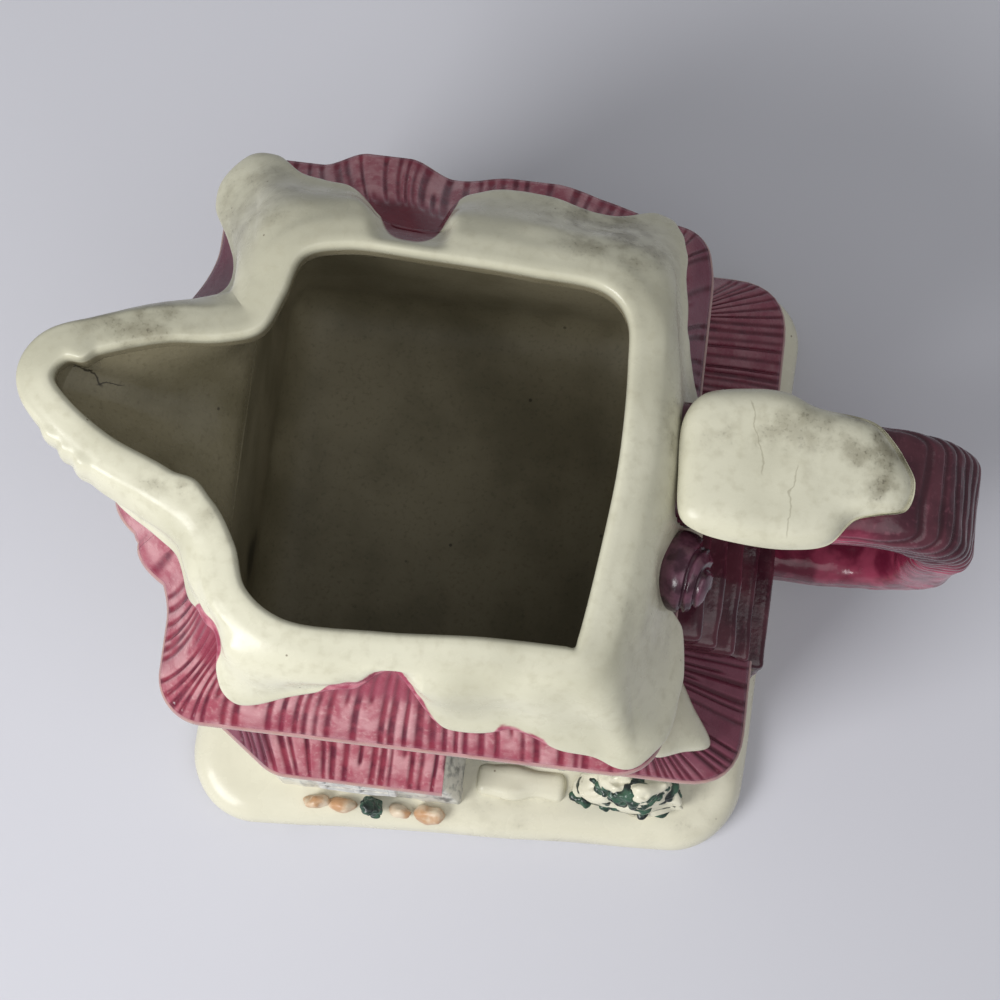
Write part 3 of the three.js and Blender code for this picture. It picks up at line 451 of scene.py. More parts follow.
class Glaze:
    """A glossy ceramic glaze, with short names for the shader nodes that colour it.

    Texture scales are per millimetre. A paint is a colour's hex code or a socket.
    """

    def __init__(self, name, roughness):
        self.material = bpy.data.materials.new(name)
        self.material.use_nodes = True
        self.tree = self.material.node_tree
        self.shader = self.tree.nodes["Principled BSDF"]
        self.fill(self.shader, {"Roughness": roughness})
        place = self.node("TexCoord", "Object")
        self.place = self.node("VectorMath", 0, {0: place, "Scale": 1 / MM}, operation="SCALE")

    def fill(self, node, inputs):
        """Sets a node's inputs to values, or links them to sockets."""
        for key, value in inputs.items():
            if isinstance(value, bpy.types.NodeSocket):
                self.tree.links.new(value, node.inputs[key])
            else:
                node.inputs[key].default_value = value

    def node(self, kind, output, inputs=None, **settings):
        """One output of a new shader node."""
        node = self.tree.nodes.new(f"ShaderNode{kind}")
        for key, value in settings.items():
            setattr(node, key, value)
        self.fill(node, inputs or {})
        return node.outputs[output]

    def noise(self, scale, detail=2.0, place=None):
        inputs = {"Scale": scale, "Detail": detail, "Vector": place or self.place}
        return self.node("TexNoise", "Fac", inputs)

    def value(self, name):
        return self.node("Attribute", "Fac", attribute_name=name)

    def range(self, source, start, end, low=0.0, high=1.0):
        """A source mapped smoothly from start and end to low and high."""
        inputs = {"Value": source, "From Min": start, "From Max": end, "To Min": low, "To Max": high}
        return self.node("MapRange", "Result", inputs, interpolation_type="SMOOTHSTEP")

    def within(self, source, start, end, soft):
        """1 where a source is between start and end, with soft ends."""
        return self.times(self.range(source, start - soft, start), self.range(source, end, end + soft, 1, 0))

    def dot(self, plan):
        """The place's distance along a direction in plan."""
        return self.node("VectorMath", "Value", {0: self.place, 1: (*plan, 0)}, operation="DOT_PRODUCT")

    def times(self, a, b):
        return self.node("Math", 0, {0: a, 1: b}, operation="MULTIPLY")

    def mix(self, share, a, b):
        """A paint between two."""
        a, b = (colour(paint) if isinstance(paint, str) else paint for paint in (a, b))
        return self.node("Mix", MIX_RESULT, {"Factor": share, MIX_A: a, MIX_B: b}, data_type="RGBA")

    def over(self, paint, name, other, most=1.0):
        """A paint with another over it, as far as the mesh's value of this name says."""
        return self.mix(self.times(self.value(name), most), paint, other)

    def clouded(self, paint, other, scale, detail, start, end, most=1.0):
        """A paint clouded with another, where noise goes from start to end."""
        return self.mix(self.range(self.noise(scale, detail), start, end, 0, most), paint, other)

    def specked(self, paint, code, scale, start, end, patches):
        """A paint with specks in patches of this scale, each fading from start to end of its cell."""
        cells = self.node("TexVoronoi", "Distance", {"Scale": scale, "Vector": self.place}, feature="F1")
        specks = self.times(self.range(cells, start, end, 1, 0), self.range(self.noise(patches), 0.5, 0.6))
        return self.mix(self.times(specks, 0.7), paint, code)

    def cracked(self, paint, code, cracks, most):
        """A paint with thin wavering cracks between places in the house's plan."""
        for crack in cracks:
            start, end = np.array(crack) + HOUSE_AT[:2]
            way = unit(end - start)
            side = np.array([-way[1], way[0]])
            waver = {0: self.noise(0.3, 3.0), 1: 2 * CRACK_WAVER, 2: self.dot(side)}
            across = self.node("Math", 0, waver, operation="MULTIPLY_ADD")
            middle = side @ start + CRACK_WAVER
            line = self.within(across, middle, middle, CRACK_HALF)
            ends = self.within(self.dot(way), way @ start, way @ end, 1)
            paint = self.mix(self.times(self.times(line, ends), most), paint, code)
        return paint

    def uneven(self, scale, low, high):
        """A roughness that varies from low to high."""
        return self.range(self.noise(scale, 3.0), 0.3, 0.8, low, high)

    def finish(self, paint, height, strength, rough=None):
        """Colours the glaze, with a bump from a height, and a roughness where it varies."""
        bumps = {"Strength": strength, "Distance": BUMP_DEPTH * MM, "Height": height}
        self.fill(self.shader, {"Base Color": paint, "Normal": self.node("Bump", "Normal", bumps)})
        if rough is not None:
            self.fill(self.shader, {"Roughness": rough})
        return self.material


def inside_paint_and_shade(glaze):
    """The olive glaze inside the jug, clouded and specked; its darkness is partly painted shade for the deep
    cavity.
    """
    paint = glaze.clouded("938b73", "7a735c", 0.06, 4.0, 0.35, 0.7)
    paint = glaze.clouded(paint, "564f3c", 1.3, 6.0, 0.5, 0.8, 0.4)
    return glaze.specked(paint, "2c261c", 0.16, 0.04, 0.07, 0.1)


def notch_paint(glaze):
    """Red glaze that has run together."""
    return glaze.mix(glaze.noise(0.3), "77202f", "5a1626")


def snow_glaze():
    """Cream, with dirt and painted shade, cracks and specks, lighter as painted light on the yard's snow, and
    pink where the brush went over it.
    """
    glaze = Glaze("snow_glaze", 0.2)
    glaze.fill(glaze.shader, {"Specular IOR Level": 0.35})
    paint = glaze.clouded("d8d5bf", "c2bfa9", 0.05, 2.0, 0.35, 0.7)
    paint = glaze.clouded(paint, "b5b098", 0.5, 4.0, 0.45, 0.8, 0.4)
    # Base and yard snow get a lighter cream: painted light, for their brighter look.
    paint = glaze.over(paint, "painted_light", "ddd9c4", 0.8)
    # Dirt and painted shade, in two darker tones.
    dirt_and_shade = glaze.times(glaze.value("grime_and_shade"), glaze.range(glaze.noise(0.22, 7.0), 0.38, 0.72))
    paint = glaze.mix(glaze.times(dirt_and_shade, 0.85), paint, "8a846f")
    paint = glaze.mix(glaze.times(dirt_and_shade, glaze.range(glaze.noise(1.6, 4.0), 0.5, 0.8)), paint, "544e40")
    paint = glaze.cracked(paint, "8b846c", HANDLE_CRACKS, 0.45)
    paint = glaze.specked(paint, "5a4632", 0.22, 0.035, 0.06, 0.13)
    paint = glaze.over(paint, "paint", glaze.clouded("c07884", "983f55", 0.5, 3.0, 0.35, 0.65))
    paint = glaze.over(paint, "notch", notch_paint(glaze))
    paint = glaze.over(paint, "inside", inside_paint_and_shade(glaze))
    return glaze.finish(paint, glaze.noise(0.5, 3.0), 0.12, glaze.uneven(0.2, 0.2, 0.38))


def roof_glaze():
    """Pink on the ribs with pale painted highlights, crimson in the grooves, pooled glaze with painted shade
    below the snow's edge, plum at the handle end and as painted shade on the porch's hip, and the jug's
    inside.
    """
    glaze = Glaze("roof_glaze", 0.25)
    ridge = glaze.clouded("c08a8f", "a04f5d", 0.22, 3.0, 0.36, 0.66)
    # Pale patches on the ridges are painted highlights.
    ridge = glaze.clouded(ridge, "d6abab", 1.2, 3.0, 0.5, 0.8, 0.5)
    groove = glaze.clouded("873242", "601b2e", 0.3, 2.0, 0.35, 0.65)
    paint = glaze.mix(glaze.range(glaze.value("rib"), 0.1, 0.75), ridge, groove)
    low = glaze.range(glaze.value("up"), 0.0, 0.3, 1, 0)
    low = glaze.times(low, glaze.range(glaze.noise(0.15), 0.4, 0.65))
    paint = glaze.mix(glaze.times(low, 0.6), paint, "8a2f45")
    paint = glaze.over(paint, "pool_and_shade", glaze.mix(glaze.noise(0.3), "832a40", "9c4b5c"))
    paint = glaze.over(paint, "notch", notch_paint(glaze))
    # Plum glaze at the handle end and on the sheds; on the porch's canted hip the same plum is painted shade.
    plum_and_shade = glaze.mix(glaze.range(glaze.value("rib"), 0.1, 0.8), "763f4f", "50202d")
    plum_and_shade = glaze.clouded(plum_and_shade, "602538", 0.25, 3.0, 0.45, 0.75, 0.5)
    paint = glaze.over(paint, "plum_and_shade", plum_and_shade)
    paint = glaze.over(paint, "fascia", glaze.mix(glaze.noise(0.4), "c3a995", "a5808a"))
    paint = glaze.over(paint, "inside", glaze.cracked(inside_paint_and_shade(glaze), "2a241b", SPOUT_CRACKS, 0.9))
    return glaze.finish(paint, glaze.noise(0.9, 4.0), 0.15, glaze.uneven(0.4, 0.18, 0.4))


def brick_glaze():
    """Plum and crimson, dark in the joints."""
    glaze = Glaze("brick_glaze", 0.2)
    paint = glaze.clouded("63343f", "47202c", 0.12, 3.0, 0.35, 0.65)
    paint = glaze.clouded(paint, "86505d", 0.9, 3.0, 0.55, 0.8, 0.5)
    paint = glaze.over(paint, "crimson", glaze.clouded("a3455e", "6e2038", 0.2, 3.0, 0.35, 0.65))
    paint = glaze.mix(glaze.range(glaze.value("joint_and_shade"), 0.2, 1, 0, 0.5), paint, "2c0d17")
    return glaze.finish(paint, glaze.noise(0.8, 4.0), 0.2, glaze.uneven(0.4, 0.12, 0.3))


def wall_glaze():
    """Bluish white in upright strokes, and the jug's inside with a painted shadow on it."""
    glaze = Glaze("wall_glaze", 0.3)
    upright = glaze.node("VectorMath", 0, {0: glaze.place, 1: (1, 1, 0.25)}, operation="MULTIPLY")
    strokes = glaze.noise(0.6, 5.0, upright)
    paint = glaze.mix(glaze.range(strokes, 0.46, 0.74), "dcdad2", "8f939b")
    paint = glaze.clouded(paint, "c9bfa2", 0.06, 2.0, 0.45, 0.75, 0.4)
    paint = glaze.over(paint, "shade", "5c5d60", glaze.range(strokes, 0.42, 0.8))
    paint = glaze.over(paint, "inside", glaze.over(inside_paint_and_shade(glaze), "painted_shadow", "241f16", 0.8))
    return glaze.finish(paint, strokes, 0.3, glaze.range(glaze.value("inside"), 0, 1, 0.3, 0.6))


def mottled_glaze(name, light, dark, scale, roughness):
    """A glaze of two mottled colours, darker in joints and gaps, and as painted shade under lumps and in the
    corner bush.
    """
    glaze = Glaze(name, roughness)
    paint = glaze.clouded(light, dark, scale, 4.0, 0.38, 0.64)
    paint = glaze.mix(glaze.range(glaze.value("joint_and_shade"), 0.1, 0.9, 0, 0.8), paint, dark)
    return glaze.finish(paint, glaze.noise(3 * scale, 4.0), 0.25)


# Mottled glazes: light and dark colour, scale and roughness
MOTTLED = {
    "plum_glaze": ("664050", "3b1f2b", 0.35, 0.22),
    "timber_glaze": ("6f5340", "3a281c", 0.6, 0.35),
    "frame_glaze": ("dedcd4", "b4b4b2", 0.5, 0.3),
    "pane_glaze": ("b89a45", "6d5524", 0.3, 0.2),
    "leaf_glaze": ("3a5a48", "141d1c", 0.4, 0.3),
    "stone_glaze": ("dccbb2", "bb9069", 0.25, 0.35),
}
GLAZES = {
    "snow_glaze": snow_glaze(),
    "roof_glaze": roof_glaze(),
    "brick_glaze": brick_glaze(),
    "wall_glaze": wall_glaze(),
    **{name: mottled_glaze(name, *look) for name, look in MOTTLED.items()},
}


# Main roof, spout and the snow on them
def nearest(outline, place):
    """Which point of an outline is nearest to a place."""
    return int(np.argmin(norm(outline - place)))


def pick(outline, at):
    """A closed outline's points at numbers that may lie between two of them."""
    places = np.arange(len(outline) + 1)
    return np.stack([np.interp(at, places, np.append(column, column[0])) for column in outline.T], axis=1)


def slope_line(foot, knee, head, share):
    """Points at a share of the lines that bend from foot by knee to head, and the ways on along them."""
    at = mix(mix(foot, knee, share), mix(knee, head, share), share)
    return at, mix(knee - foot, head - knee, np.clip(share, 0, 1))


class RoofRing:
    """The eave, the mouth and the slope between them, as rings of matching points."""

    def __init__(self):
        self.eave = round_rectangle(EAVE_X, EAVE_Y, EAVE_CORNER, RING)
        self.run = np.arange(RING) * norm(self.eave[1] - self.eave[0])
        self.around = self.run[-1] + self.run[1]
        self.match_mouth()
        self.shape_eave()
        self.bend_slopes()
        self.edge_snow()

    def match_mouth(self):
        """Finds the mouth's point for each point of the eave."""
        fine = resample(curve(MOUTH, 24, closed=True), MOUTH_FINER * RING)
        fine_out = unit(smooth_ring(outward(fine), 36))
        starts = [nearest(self.eave, place) for place, _ in EAVE_TO_MOUTH] + [RING]
        ends = [nearest(fine, place) for _, place in EAVE_TO_MOUTH] + [MOUTH_FINER * RING]
        places = np.arange(RING)
        drift = np.interp(places, starts, ends) - MOUTH_FINER * places
        at = (MOUTH_FINER * places + smooth_ring(drift, 16)) % (MOUTH_FINER * RING)
        self.mouth = pick(fine, at)
        self.mouth_out = unit(pick(fine_out, at))
        self.lift = SPOUT_LIFT * ease(-self.mouth[:, 0], *SPOUT_RISES)
        self.spout_from = starts[SPOUT_BACK]
        self.spout_to = starts[SPOUT_FRONT]

    def shape_eave(self):
        """Swells the eave for dormers and lobes, blunts a corner, and flares it under the spout."""
        swell = np.zeros(RING)
        for middle, reach, share in DORMERS:
            swell = np.maximum(swell, share * ease(reach - np.abs(self.eave[:, 0] - middle), 0, 0.7 * reach))
        swell = swell * (self.eave[:, 1] > EAVE_Y - 1)
        lobe = sum(np.clip(1 - ((self.run - middle) / reach) ** 2, 0, 1) for middle, reach in LOBES)
        blunt = ease(np.abs(self.run - BLUNT_CORNER[0]), BLUNT_CORNER[1], 0)
        moved = DORMER_SWELL * swell + LOBE_SWELL * lobe - BLUNT * blunt
        plan = self.eave + outward(self.eave) * moved[:, None]
        flare = ease(FLARE_REACH - np.abs(plan[:, 1]), 0, 0.9 * FLARE_REACH) * (plan[:, 0] < 1 - EAVE_X)
        plan[:, 0] -= FLARE * flare
        self.foot = level(plan, EAVE_TOP + DORMER_RISE * swell + FLARE_RISE * flare ** 2)
        self.out = unit(smooth_ring(outward(plan), 4))

    def bend_slopes(self):
        """Places the knees, where the slopes turn from square to the eave towards the mouth."""
        plan = self.foot[:, :2]
        self.head = self.lip(LIP_ROOT, 0)
        self.length = norm(self.head - self.foot)
        half_way = (self.foot + self.head) / 2
        reach = norm((self.head - self.foot)[:, :2]) / 2
        square = plan - smooth_ring(self.out, 12) * reach[:, None]
        inwards = -np.einsum("ij,ij->i", self.head[:, :2] - plan, self.out)
        share = smooth_ring(ease(inwards / reach, 0.6, 1.6), 12)
        self.knee = level(mix(half_way[:, :2], square, share[:, None]), half_way[:, 2])
        soft = bump(self.run, *LOBED, 8)[:, None]
        lines = (self.foot, self.knee)
        self.snow_foot, self.snow_knee = (mix(line, smooth_ring(line, 16), soft) for line in lines)

    def edge_snow(self):
        """Finds up to what share of each slope the roof is bare of snow, and is ribbed."""
        along, share = np.array(SNOW_EDGE).T
        share = np.interp(self.run, np.append(along, self.around), np.append(share, share[0]))
        self.bare = smooth_ring(share, 5) + 0.02 * noise(level(self.eave, 0), 4, 3)
        self.pooled = smooth_ring(bump(self.run, *POOL_RUN), 6)
        smooth = sum(bump(self.run, start, end) for start, end in SMOOTH_RUNS)
        self.ribbed = self.bare - 2 * smooth - self.pooled * np.clip(self.bare - POOL_FROM, 0, None)

    def lip(self, outwards, height):
        """Points along the mouth, moved outwards, at a height above the roof's top."""
        return level(self.mouth + self.mouth_out * outwards, ROOF_TOP + self.lift + height)

    def on_slope(self, share, lift):
        """The snow's points at a share of the slope from eave to lip, lifted off it."""
        share, lift = (np.broadcast_to(value, (RING,))[:, None] for value in (share, lift))
        at, up = slope_line(self.snow_foot, self.snow_knee, self.head, share)
        return at + unit(np.cross(ways(at), up)) * lift


class Ribs:
    """Irregular grooves across a run of eave."""

    def __init__(self, length, pitch, seed):
        random = np.random.default_rng(seed)
        count = max(3, round(length / pitch))
        steps = 1 + RIB_JITTER * random.uniform(-1, 1, count)
        self.at = np.concatenate([[0], np.cumsum(steps / steps.sum() * length)])
        self.depth = random.uniform(0.6, 1, count + 1)
        self.width = pitch * random.uniform(*RIB_WIDTHS, count + 1)
        short = random.random(count + 1) < RIB_CUT_SHORT
        self.start = np.where(short, random.uniform(0.1, 0.4, count + 1), -1)
        self.seed = seed

    def groove(self, run, up):
        """How deep the groove is, from 0 to 1, at places along the eave and shares up the slope."""
        run, up = np.broadcast_arrays(run, up)
        wander = noise(np.stack([run, 9 * up, 0 * up], axis=-1), 5, self.seed)
        moved = run + RIB_WANDER * wander
        after = np.clip(np.searchsorted(self.at, moved), 1, len(self.at) - 1)
        closer = np.where(moved - self.at[after - 1] < self.at[after] - moved, after - 1, after)
        shape = np.exp(-((moved - self.at[closer]) / self.width[closer]) ** 2)
        return shape * self.depth[closer] * ease(up, self.start[closer], self.start[closer] + 0.15)


# A roof's edge: inwards from the eave and share of its thickness down, round a bead along its foot
EDGE_SECTION = [
    (1.2, 1.0), (0.1, 1.0), (-0.35, 0.9), (-0.55, 0.72), (-0.45, 0.54), (-0.1, 0.44), (0.1, 0.36),
    (0.05, 0.2),
]
BEAD_FROM = 0.36


def roof_skin(foot, knee, head, out, run, ribs, bare, thick, behind, closed):
    """Rows of a roof's beaded eave edge, its ribbed slope from foot by knee to head, and what is behind it.

    bare says up to what share of the slope the ribs show. The rows come with the share up the slope, the
    depth in a groove, and the unpainted fascia.
    """
    none = np.zeros(len(foot))
    rows = []
    for inset, drop in EDGE_SECTION:
        fascia = none + ease(drop, BEAD_FROM, BEAD_FROM + 0.15)
        rows.append((push(foot, out, -inset, -thick * drop), none, none, fascia))
    length = norm(head - foot)
    for share in np.linspace(0, 1, SLOPE_ROWS):
        at, on = slope_line(foot, knee, head, share)
        shade = ribs.groove(run, share) * ease((bare - share) * length, 0.2, 1.8)
        depth = RIB_DEPTH * shade * ease(share * length, 0, 1.6)
        at = at - unit(np.cross(ways(at, closed), on)) * depth[:, None]
        rows.append((at, none + share, shade, none))
    rows += [(row, none, none, none) for row in behind]
    points, *values = (np.array(column) for column in zip(*rows))
    return points, dict(zip(("up", "rib", "fascia"), values))


def add_roof(ring):
    """The ribbed roof shell, parted beside the spout, with the slopes inside it down to the walls."""
    inner = round_rectangle(WALL_X - WALL - RIM_GAP, WALL_Y - WALL - RIM_GAP, INSIDE_CORNER, RING)
    high = ring.lip(0.9, -1)
    corner = level(inner, SOFFIT - SUNK)
    bends = [high, mix(high, corner, 0.5), mix(high, corner, 0.95), level(inner, RIM - RIM_COVER)]
    inside = [*curve(bends, 6), level(inner, RIM - 1.1 * RIM_COVER)]
    tuck = level(inner + outward(inner) * RIM_COVER, RIM - 2 * RIM_COVER)
    under = level(round_rectangle(WALL_X - 1, WALL_Y - 1, WALL_CORNER, RING), SOFFIT - SUNK)
    behind = [ring.lip(2.2, -0.4), *inside, tuck, under]
    ribs = Ribs(ring.around, RIB_PITCH, 4)
    rows, values = roof_skin(
        ring.foot, ring.knee, ring.head, ring.out, ring.run, ribs, ring.ribbed, EAVE_THICK, behind, True
    )
    up = values["up"]
    # Glaze pooled against the snow's edge, with painted shade under that edge, and a darker band high on the
    # slope.
    pool_and_shade = ease((ring.bare - up) * ring.length, 2.4, 0.4) * ease(ring.bare, 0.2, 0.4)
    pool_and_shade = np.maximum(pool_and_shade, ease(up, 0.42, 0.6))
    handle_end = ease(rows[..., 0], 34, 41) * ease(np.abs(rows[..., 1]), 50, 44)
    plum_and_shade = np.maximum(handle_end, bump(ring.run, *SMOOTH_RUNS[0])) * (1 - 0.6 * pool_and_shade)
    notch = ease(up, POOL_FROM - 0.12, POOL_FROM) * ring.pooled
    inner_rows = np.zeros(up.shape)
    inner_rows[-len(inside) - 2:-1] = 1
    values |= {"inside": inner_rows, "pool_and_shade": 0.9 * pool_and_shade, "notch": notch, "plum_and_shade": plum_and_shade}
    spout = np.arange(ring.spout_from, ring.spout_to + 1)
    rest = np.arange(ring.spout_to, ring.spout_from + RING + 1) % RING
    for name, columns in (("spout", spout), ("main_roof", rest)):
        part = {key: value[:, columns] for key, value in values.items()}
        add_piece(name, loft(rows[:, columns], ring=True, closed=False, values=part), "roof_glaze")


def snow_rows(ring):
    """Rows of the snow on the roof, and how far past the rolled edge each is, in rows before smoothing."""
    room = (1 - ring.bare) * ring.length
    clear = 1 - ring.pooled
    thick = SNOW * (1 + 0.16 * noise(level(ring.eave, 0), 11, 1)) * mix(0.4, 1, ease(room, 2, 8))
    thick = thick * (1 - 0.85 * ring.pooled)
    rows = [ring.on_slope(ring.bare + 2 / ring.length, -0.6)]
    for turn in np.radians(SNOW_ROLL_TURNS):
        share = ring.bare + (SNOW_ROLL - SNOW_ROLL * math.cos(turn)) / ring.length
        rows.append(ring.on_slope(share, 0.5 * thick * (1 + math.sin(turn)) - POOL_SUNK * ring.pooled))
    edge_rows = len(rows)
    start = ring.bare + SNOW_ROLL / ring.length
    end = np.maximum(start + 0.5 / ring.length, 1 - LIP_OVER / ring.length)
    swell = SNOW_SWELL * ease(room, 3, 10) * clear
    for part in (0.2, 0.45, 0.7, 0.95):
        share = start + (end - start) * part
        lump = 0.35 * noise(ring.on_slope(share, 0), 9, 2) * clear * ease(part, 0, 0.7)
        rows.append(ring.on_slope(share, thick + lump + swell * ease(part, 0.2, 0.95)))
    for outwards, height in LIP:
        lump = 0.3 * noise(ring.lip(outwards, height), 12, 5)
        sag = POOL_SAG * ring.pooled * ease(outwards, 0.6, 6.2)
        rows.append(ring.lip(outwards, height + lump - sag))
    rows += [ring.lip(2, -5), ring.on_slope(0.85, -2.0)]
    steps = 5
    fine = curve(rows, steps)
    for x, y, reach, inwards, up in LIP_LUMPS:
        share = ease(norm(fine[..., :2] - (x, y)), reach, 0)
        fine[..., :2] -= ring.mouth_out * (inwards * share)[..., None]
        fine[..., 2] += up * share
    return fine, np.arange(len(fine)) / steps - edge_rows


def add_roof_snow(ring):
    """The snow layer with its rolled lower edge, up over the lip and a little way inside."""
    fine, past_edge = snow_rows(ring)
    on = np.cumsum(norm(np.diff(fine, axis=0, prepend=fine[:1])), axis=0)
    edge_middle = np.argmin(np.abs(past_edge + (len(SNOW_ROLL_TURNS) + 1) / 2))
    from_edge = on - on[edge_middle]
    rim = sum(width * bump(ring.run, start, end, 4) for start, end, width in RIMS)
    brushed = ease(from_edge + 0.7 * noise(fine, 2.2, 7), rim + 0.2, rim - 0.3) * ease(rim, 0.2, 0.5)
    paint = np.maximum(ease(past_edge, -2.2, -3.4)[:, None], brushed) * ease(ring.bare, 0.04, 0.14)
    from_mouth = np.einsum("ijk,jk->ij", fine[..., :2] - ring.mouth, ring.mouth_out)
    aside = np.abs(fine[..., 0] - NOTCH_X) / NOTCH_HALF
    notch = ease(from_mouth - NOTCH_LIP - NOTCH_ROUND * aside ** 3, -0.3, 0.3) * (fine[..., 1] > 0)
    inside = ease(fine[..., 2] - ROOF_TOP - ring.lift, 2.6, 1.6) * ease(from_mouth, 1.5, 0.8)
    # Dirt and painted shade: darker towards the back and the handle end, away from the light, and round the
    # places listed above.
    grime_and_shade = ease(noise(fine, 16, 8), -0.1, 0.6) * ease(fine[..., 1], -50, 20) * ease(fine[..., 0], -5, 25)
    for x, y, reach, share in GRIME_AND_SHADE:
        away = norm(fine[..., :2] - (x, y)) + 2 * noise(fine, 6, 9)
        grime_and_shade = np.maximum(grime_and_shade, share * ease(away, reach, 0.3 * reach))
    values = {"paint": paint, "notch": notch, "grime_and_shade": grime_and_shade, "inside": inside}
    add_piece("roof_snow", loft(fine, ring=True, values=values), "snow_glaze")


# Walls and base
# A painted shadow inside the jug, a dark smudge low on the wall at the spout end: its middle and reach
PAINTED_SHADOW = (-34, -16, 28)
PAINTED_SHADOW_REACH = 8
UPRIGHT = (1, 1, 0.35)
BASE_CORNER = 14
# The yard's front corner at the handle end is drawn in, and the side there starts further out to match
BASE_DRAWN_IN = (-3, 5)
BASE_HIDDEN = np.array([0.35, 0])
# Section of the yard's edge, for a slab of this height: inwards from its side, and height
BASE_HEIGHT = 8
BASE_SECTION = [
    (10.5, 4), (10.5, 0.5), (10, 0), (2.8, 0), (1.2, 0.5), (0.3, 1.8), (0, 3.6), (0.5, 5.4), (1.8, 6.9),
    (4, 7.8), (8, 8.2), (13, 8.8), (18, 9.6), (24, 10),
]


def plaster(at, seed, stroke=0.2, size=2.2, swell=0.2, swell_size=8):
    """Height of trowelled plaster at points: upright strokes on a slow swell."""
    return stroke * noise(at * UPRIGHT, size, seed) + swell * noise(at, swell_size, seed + 1)


def add_walls():
    """The vessel: plastered outside, glazed inside, with a rounded floor."""
    count = 640
    outside = round_rectangle(WALL_X, WALL_Y, WALL_CORNER, count)
    out = outward(outside)
    rows = []
    for z in np.linspace(YARD - SUNK, SOFFIT - 0.3, 90):
        at = level(outside, z)
        rows.append(push(at, out, plaster(at, 11, 0.25, 2.2, 0.3, 9)))
    outer_rows = len(rows)
    floor = YARD + FLOOR
    section = [(0, z) for z in (RIM, RIM - 0.4 * RIM_COVER, RIM - RIM_COVER)]
    section += [(0, z) for z in np.linspace(RIM - 2, floor + INSIDE_FILLET, 16)]
    for turn in np.radians([15, 30, 45, 60, 75, 90]):
        section.append((INSIDE_FILLET * (1 - math.cos(turn)), floor + INSIDE_FILLET * (1 - math.sin(turn))))
    section += [(inset, floor) for inset in (14, 20, 28)]
    for inset, z in section:
        half_x = WALL_X - WALL - inset
        half_y = WALL_Y - WALL - inset
        rows.append(level(round_rectangle(half_x, half_y, min(INSIDE_CORNER, half_x), count), z))
    rows = np.array(rows)
    inside = np.zeros((len(rows), 1))
    inside[outer_rows:] = 1
    # The painted shadow darkens the inside round that middle.
    away = norm(rows - PAINTED_SHADOW) + 2.5 * noise(rows, 5, 13)
    values = {"inside": inside, "painted_shadow": ease(away, PAINTED_SHADOW_REACH, 0.4 * PAINTED_SHADOW_REACH)}
    add_piece("house_walls", loft(rows, values=values), "wall_glaze")


def add_base():
    """The yard slab: a soft-edged bed of snow on its foot ring, drifting up to the walls."""
    low, high = corners("snow_base")
    half = (high - low)[:2] / 2 + BASE_HIDDEN / 2
    middle = (high + low)[:2] / 2 + BASE_HIDDEN / 2
    rows = []
    for inset, z in BASE_SECTION:
        outline = round_rectangle(half[0] - inset, half[1] - inset, max(4, BASE_CORNER - inset), 480)
        along = np.clip(outline[:, 0] + half[0] - BASE_CORNER, 0, None) / (2 * half[0] - BASE_CORNER)
        drawn = along * (1 - outline[:, 1] / half[1]) / 2
        outline = outline + middle + np.outer(drawn, BASE_DRAWN_IN)
        at = level(outline, z * high[2] / BASE_HEIGHT)
        wave = 0.45 * ease(z, 0, 4)
        bed = 0.4 * ease(z, 5, 8) * noise(at, 10, 22)
        rows.append(push(at, outward(outline), wave * noise(at, 14, 21) - wave, bed))
    fine = curve(rows, 4)
    fine[..., 2] = np.maximum(fine[..., 2], 0)
    # Dirt and painted shade on the yard: darker in patches low at its edge and towards the handle end.
    grime_and_shade = 0.5 * ease(noise(fine, 18, 23), 0.3, 0.7) * ease(fine[..., 2], 6, 3)
    grime_and_shade = np.maximum(grime_and_shade, 0.3 * ease(noise(fine, 9, 24), 0, 0.5) * ease(fine[..., 0], 0, 14))
    # The yard's snow is lightened as painted light.
    add_piece("snow_base", loft(fine, values={"grime_and_shade": grime_and_shade, "painted_light": np.array(1)}), "snow_glaze")


# Handle, chimney and their snow
COURSE = 2.3
JOINT_DEPTH = 0.35
BREAST_LOW, BREAST_HIGH = corners("chimney_breast")
BREAST_STEPS = 5
BREAST_SHOULDER = 36
BREAST_HEAD = 9
HANDLE_THICK = 11
HANDLE_EDGE = 3.6
HANDLE_BEND = 16.5
# Plan of the snow on the handle, anticlockwise, and its rows' shares from the middle to that outline
HANDLE_SNOW = [
    (80, 2.6), (78, 6.4), (76, 9), (72.5, 12), (62, 13.6), (57, 15.4), (51, 15.4), (43, 13.4), (40.2, 9),
    (40.2, 0), (41.4, -8), (44.5, -10), (52, -11.2), (60, -11.2), (66.5, -9.6), (70.5, -5), (74.5, -3.6),
    (79, -2.2),
]
HANDLE_SNOW_ROWS = (0.985, 1, 0.985, 0.95, 0.9, 0.82, 0.72, 0.6, 0.45, 0.3, 0.15, 0.05)
SCROLL_PITCH = 2.2
SCROLL_OVAL = (1, 0.45)


def course_joint(height):
    """How far into the joint between two courses a height is, from 0 to 1."""
    return ease(np.cos(2 * np.pi * height / COURSE), 0, 1)


def sweep(path, section):
    """Rows of a section, or of one for each row, swept along a line in the X-Z plane."""
    tangent = unit(ways(path, closed=False))
    x = path[:, None, 0] - tangent[:, None, 1] * section[..., 0]
    z = path[:, None, 1] + tangent[:, None, 0] * section[..., 0]
    return np.stack(np.broadcast_arrays(x, section[..., 1], z), axis=-1)


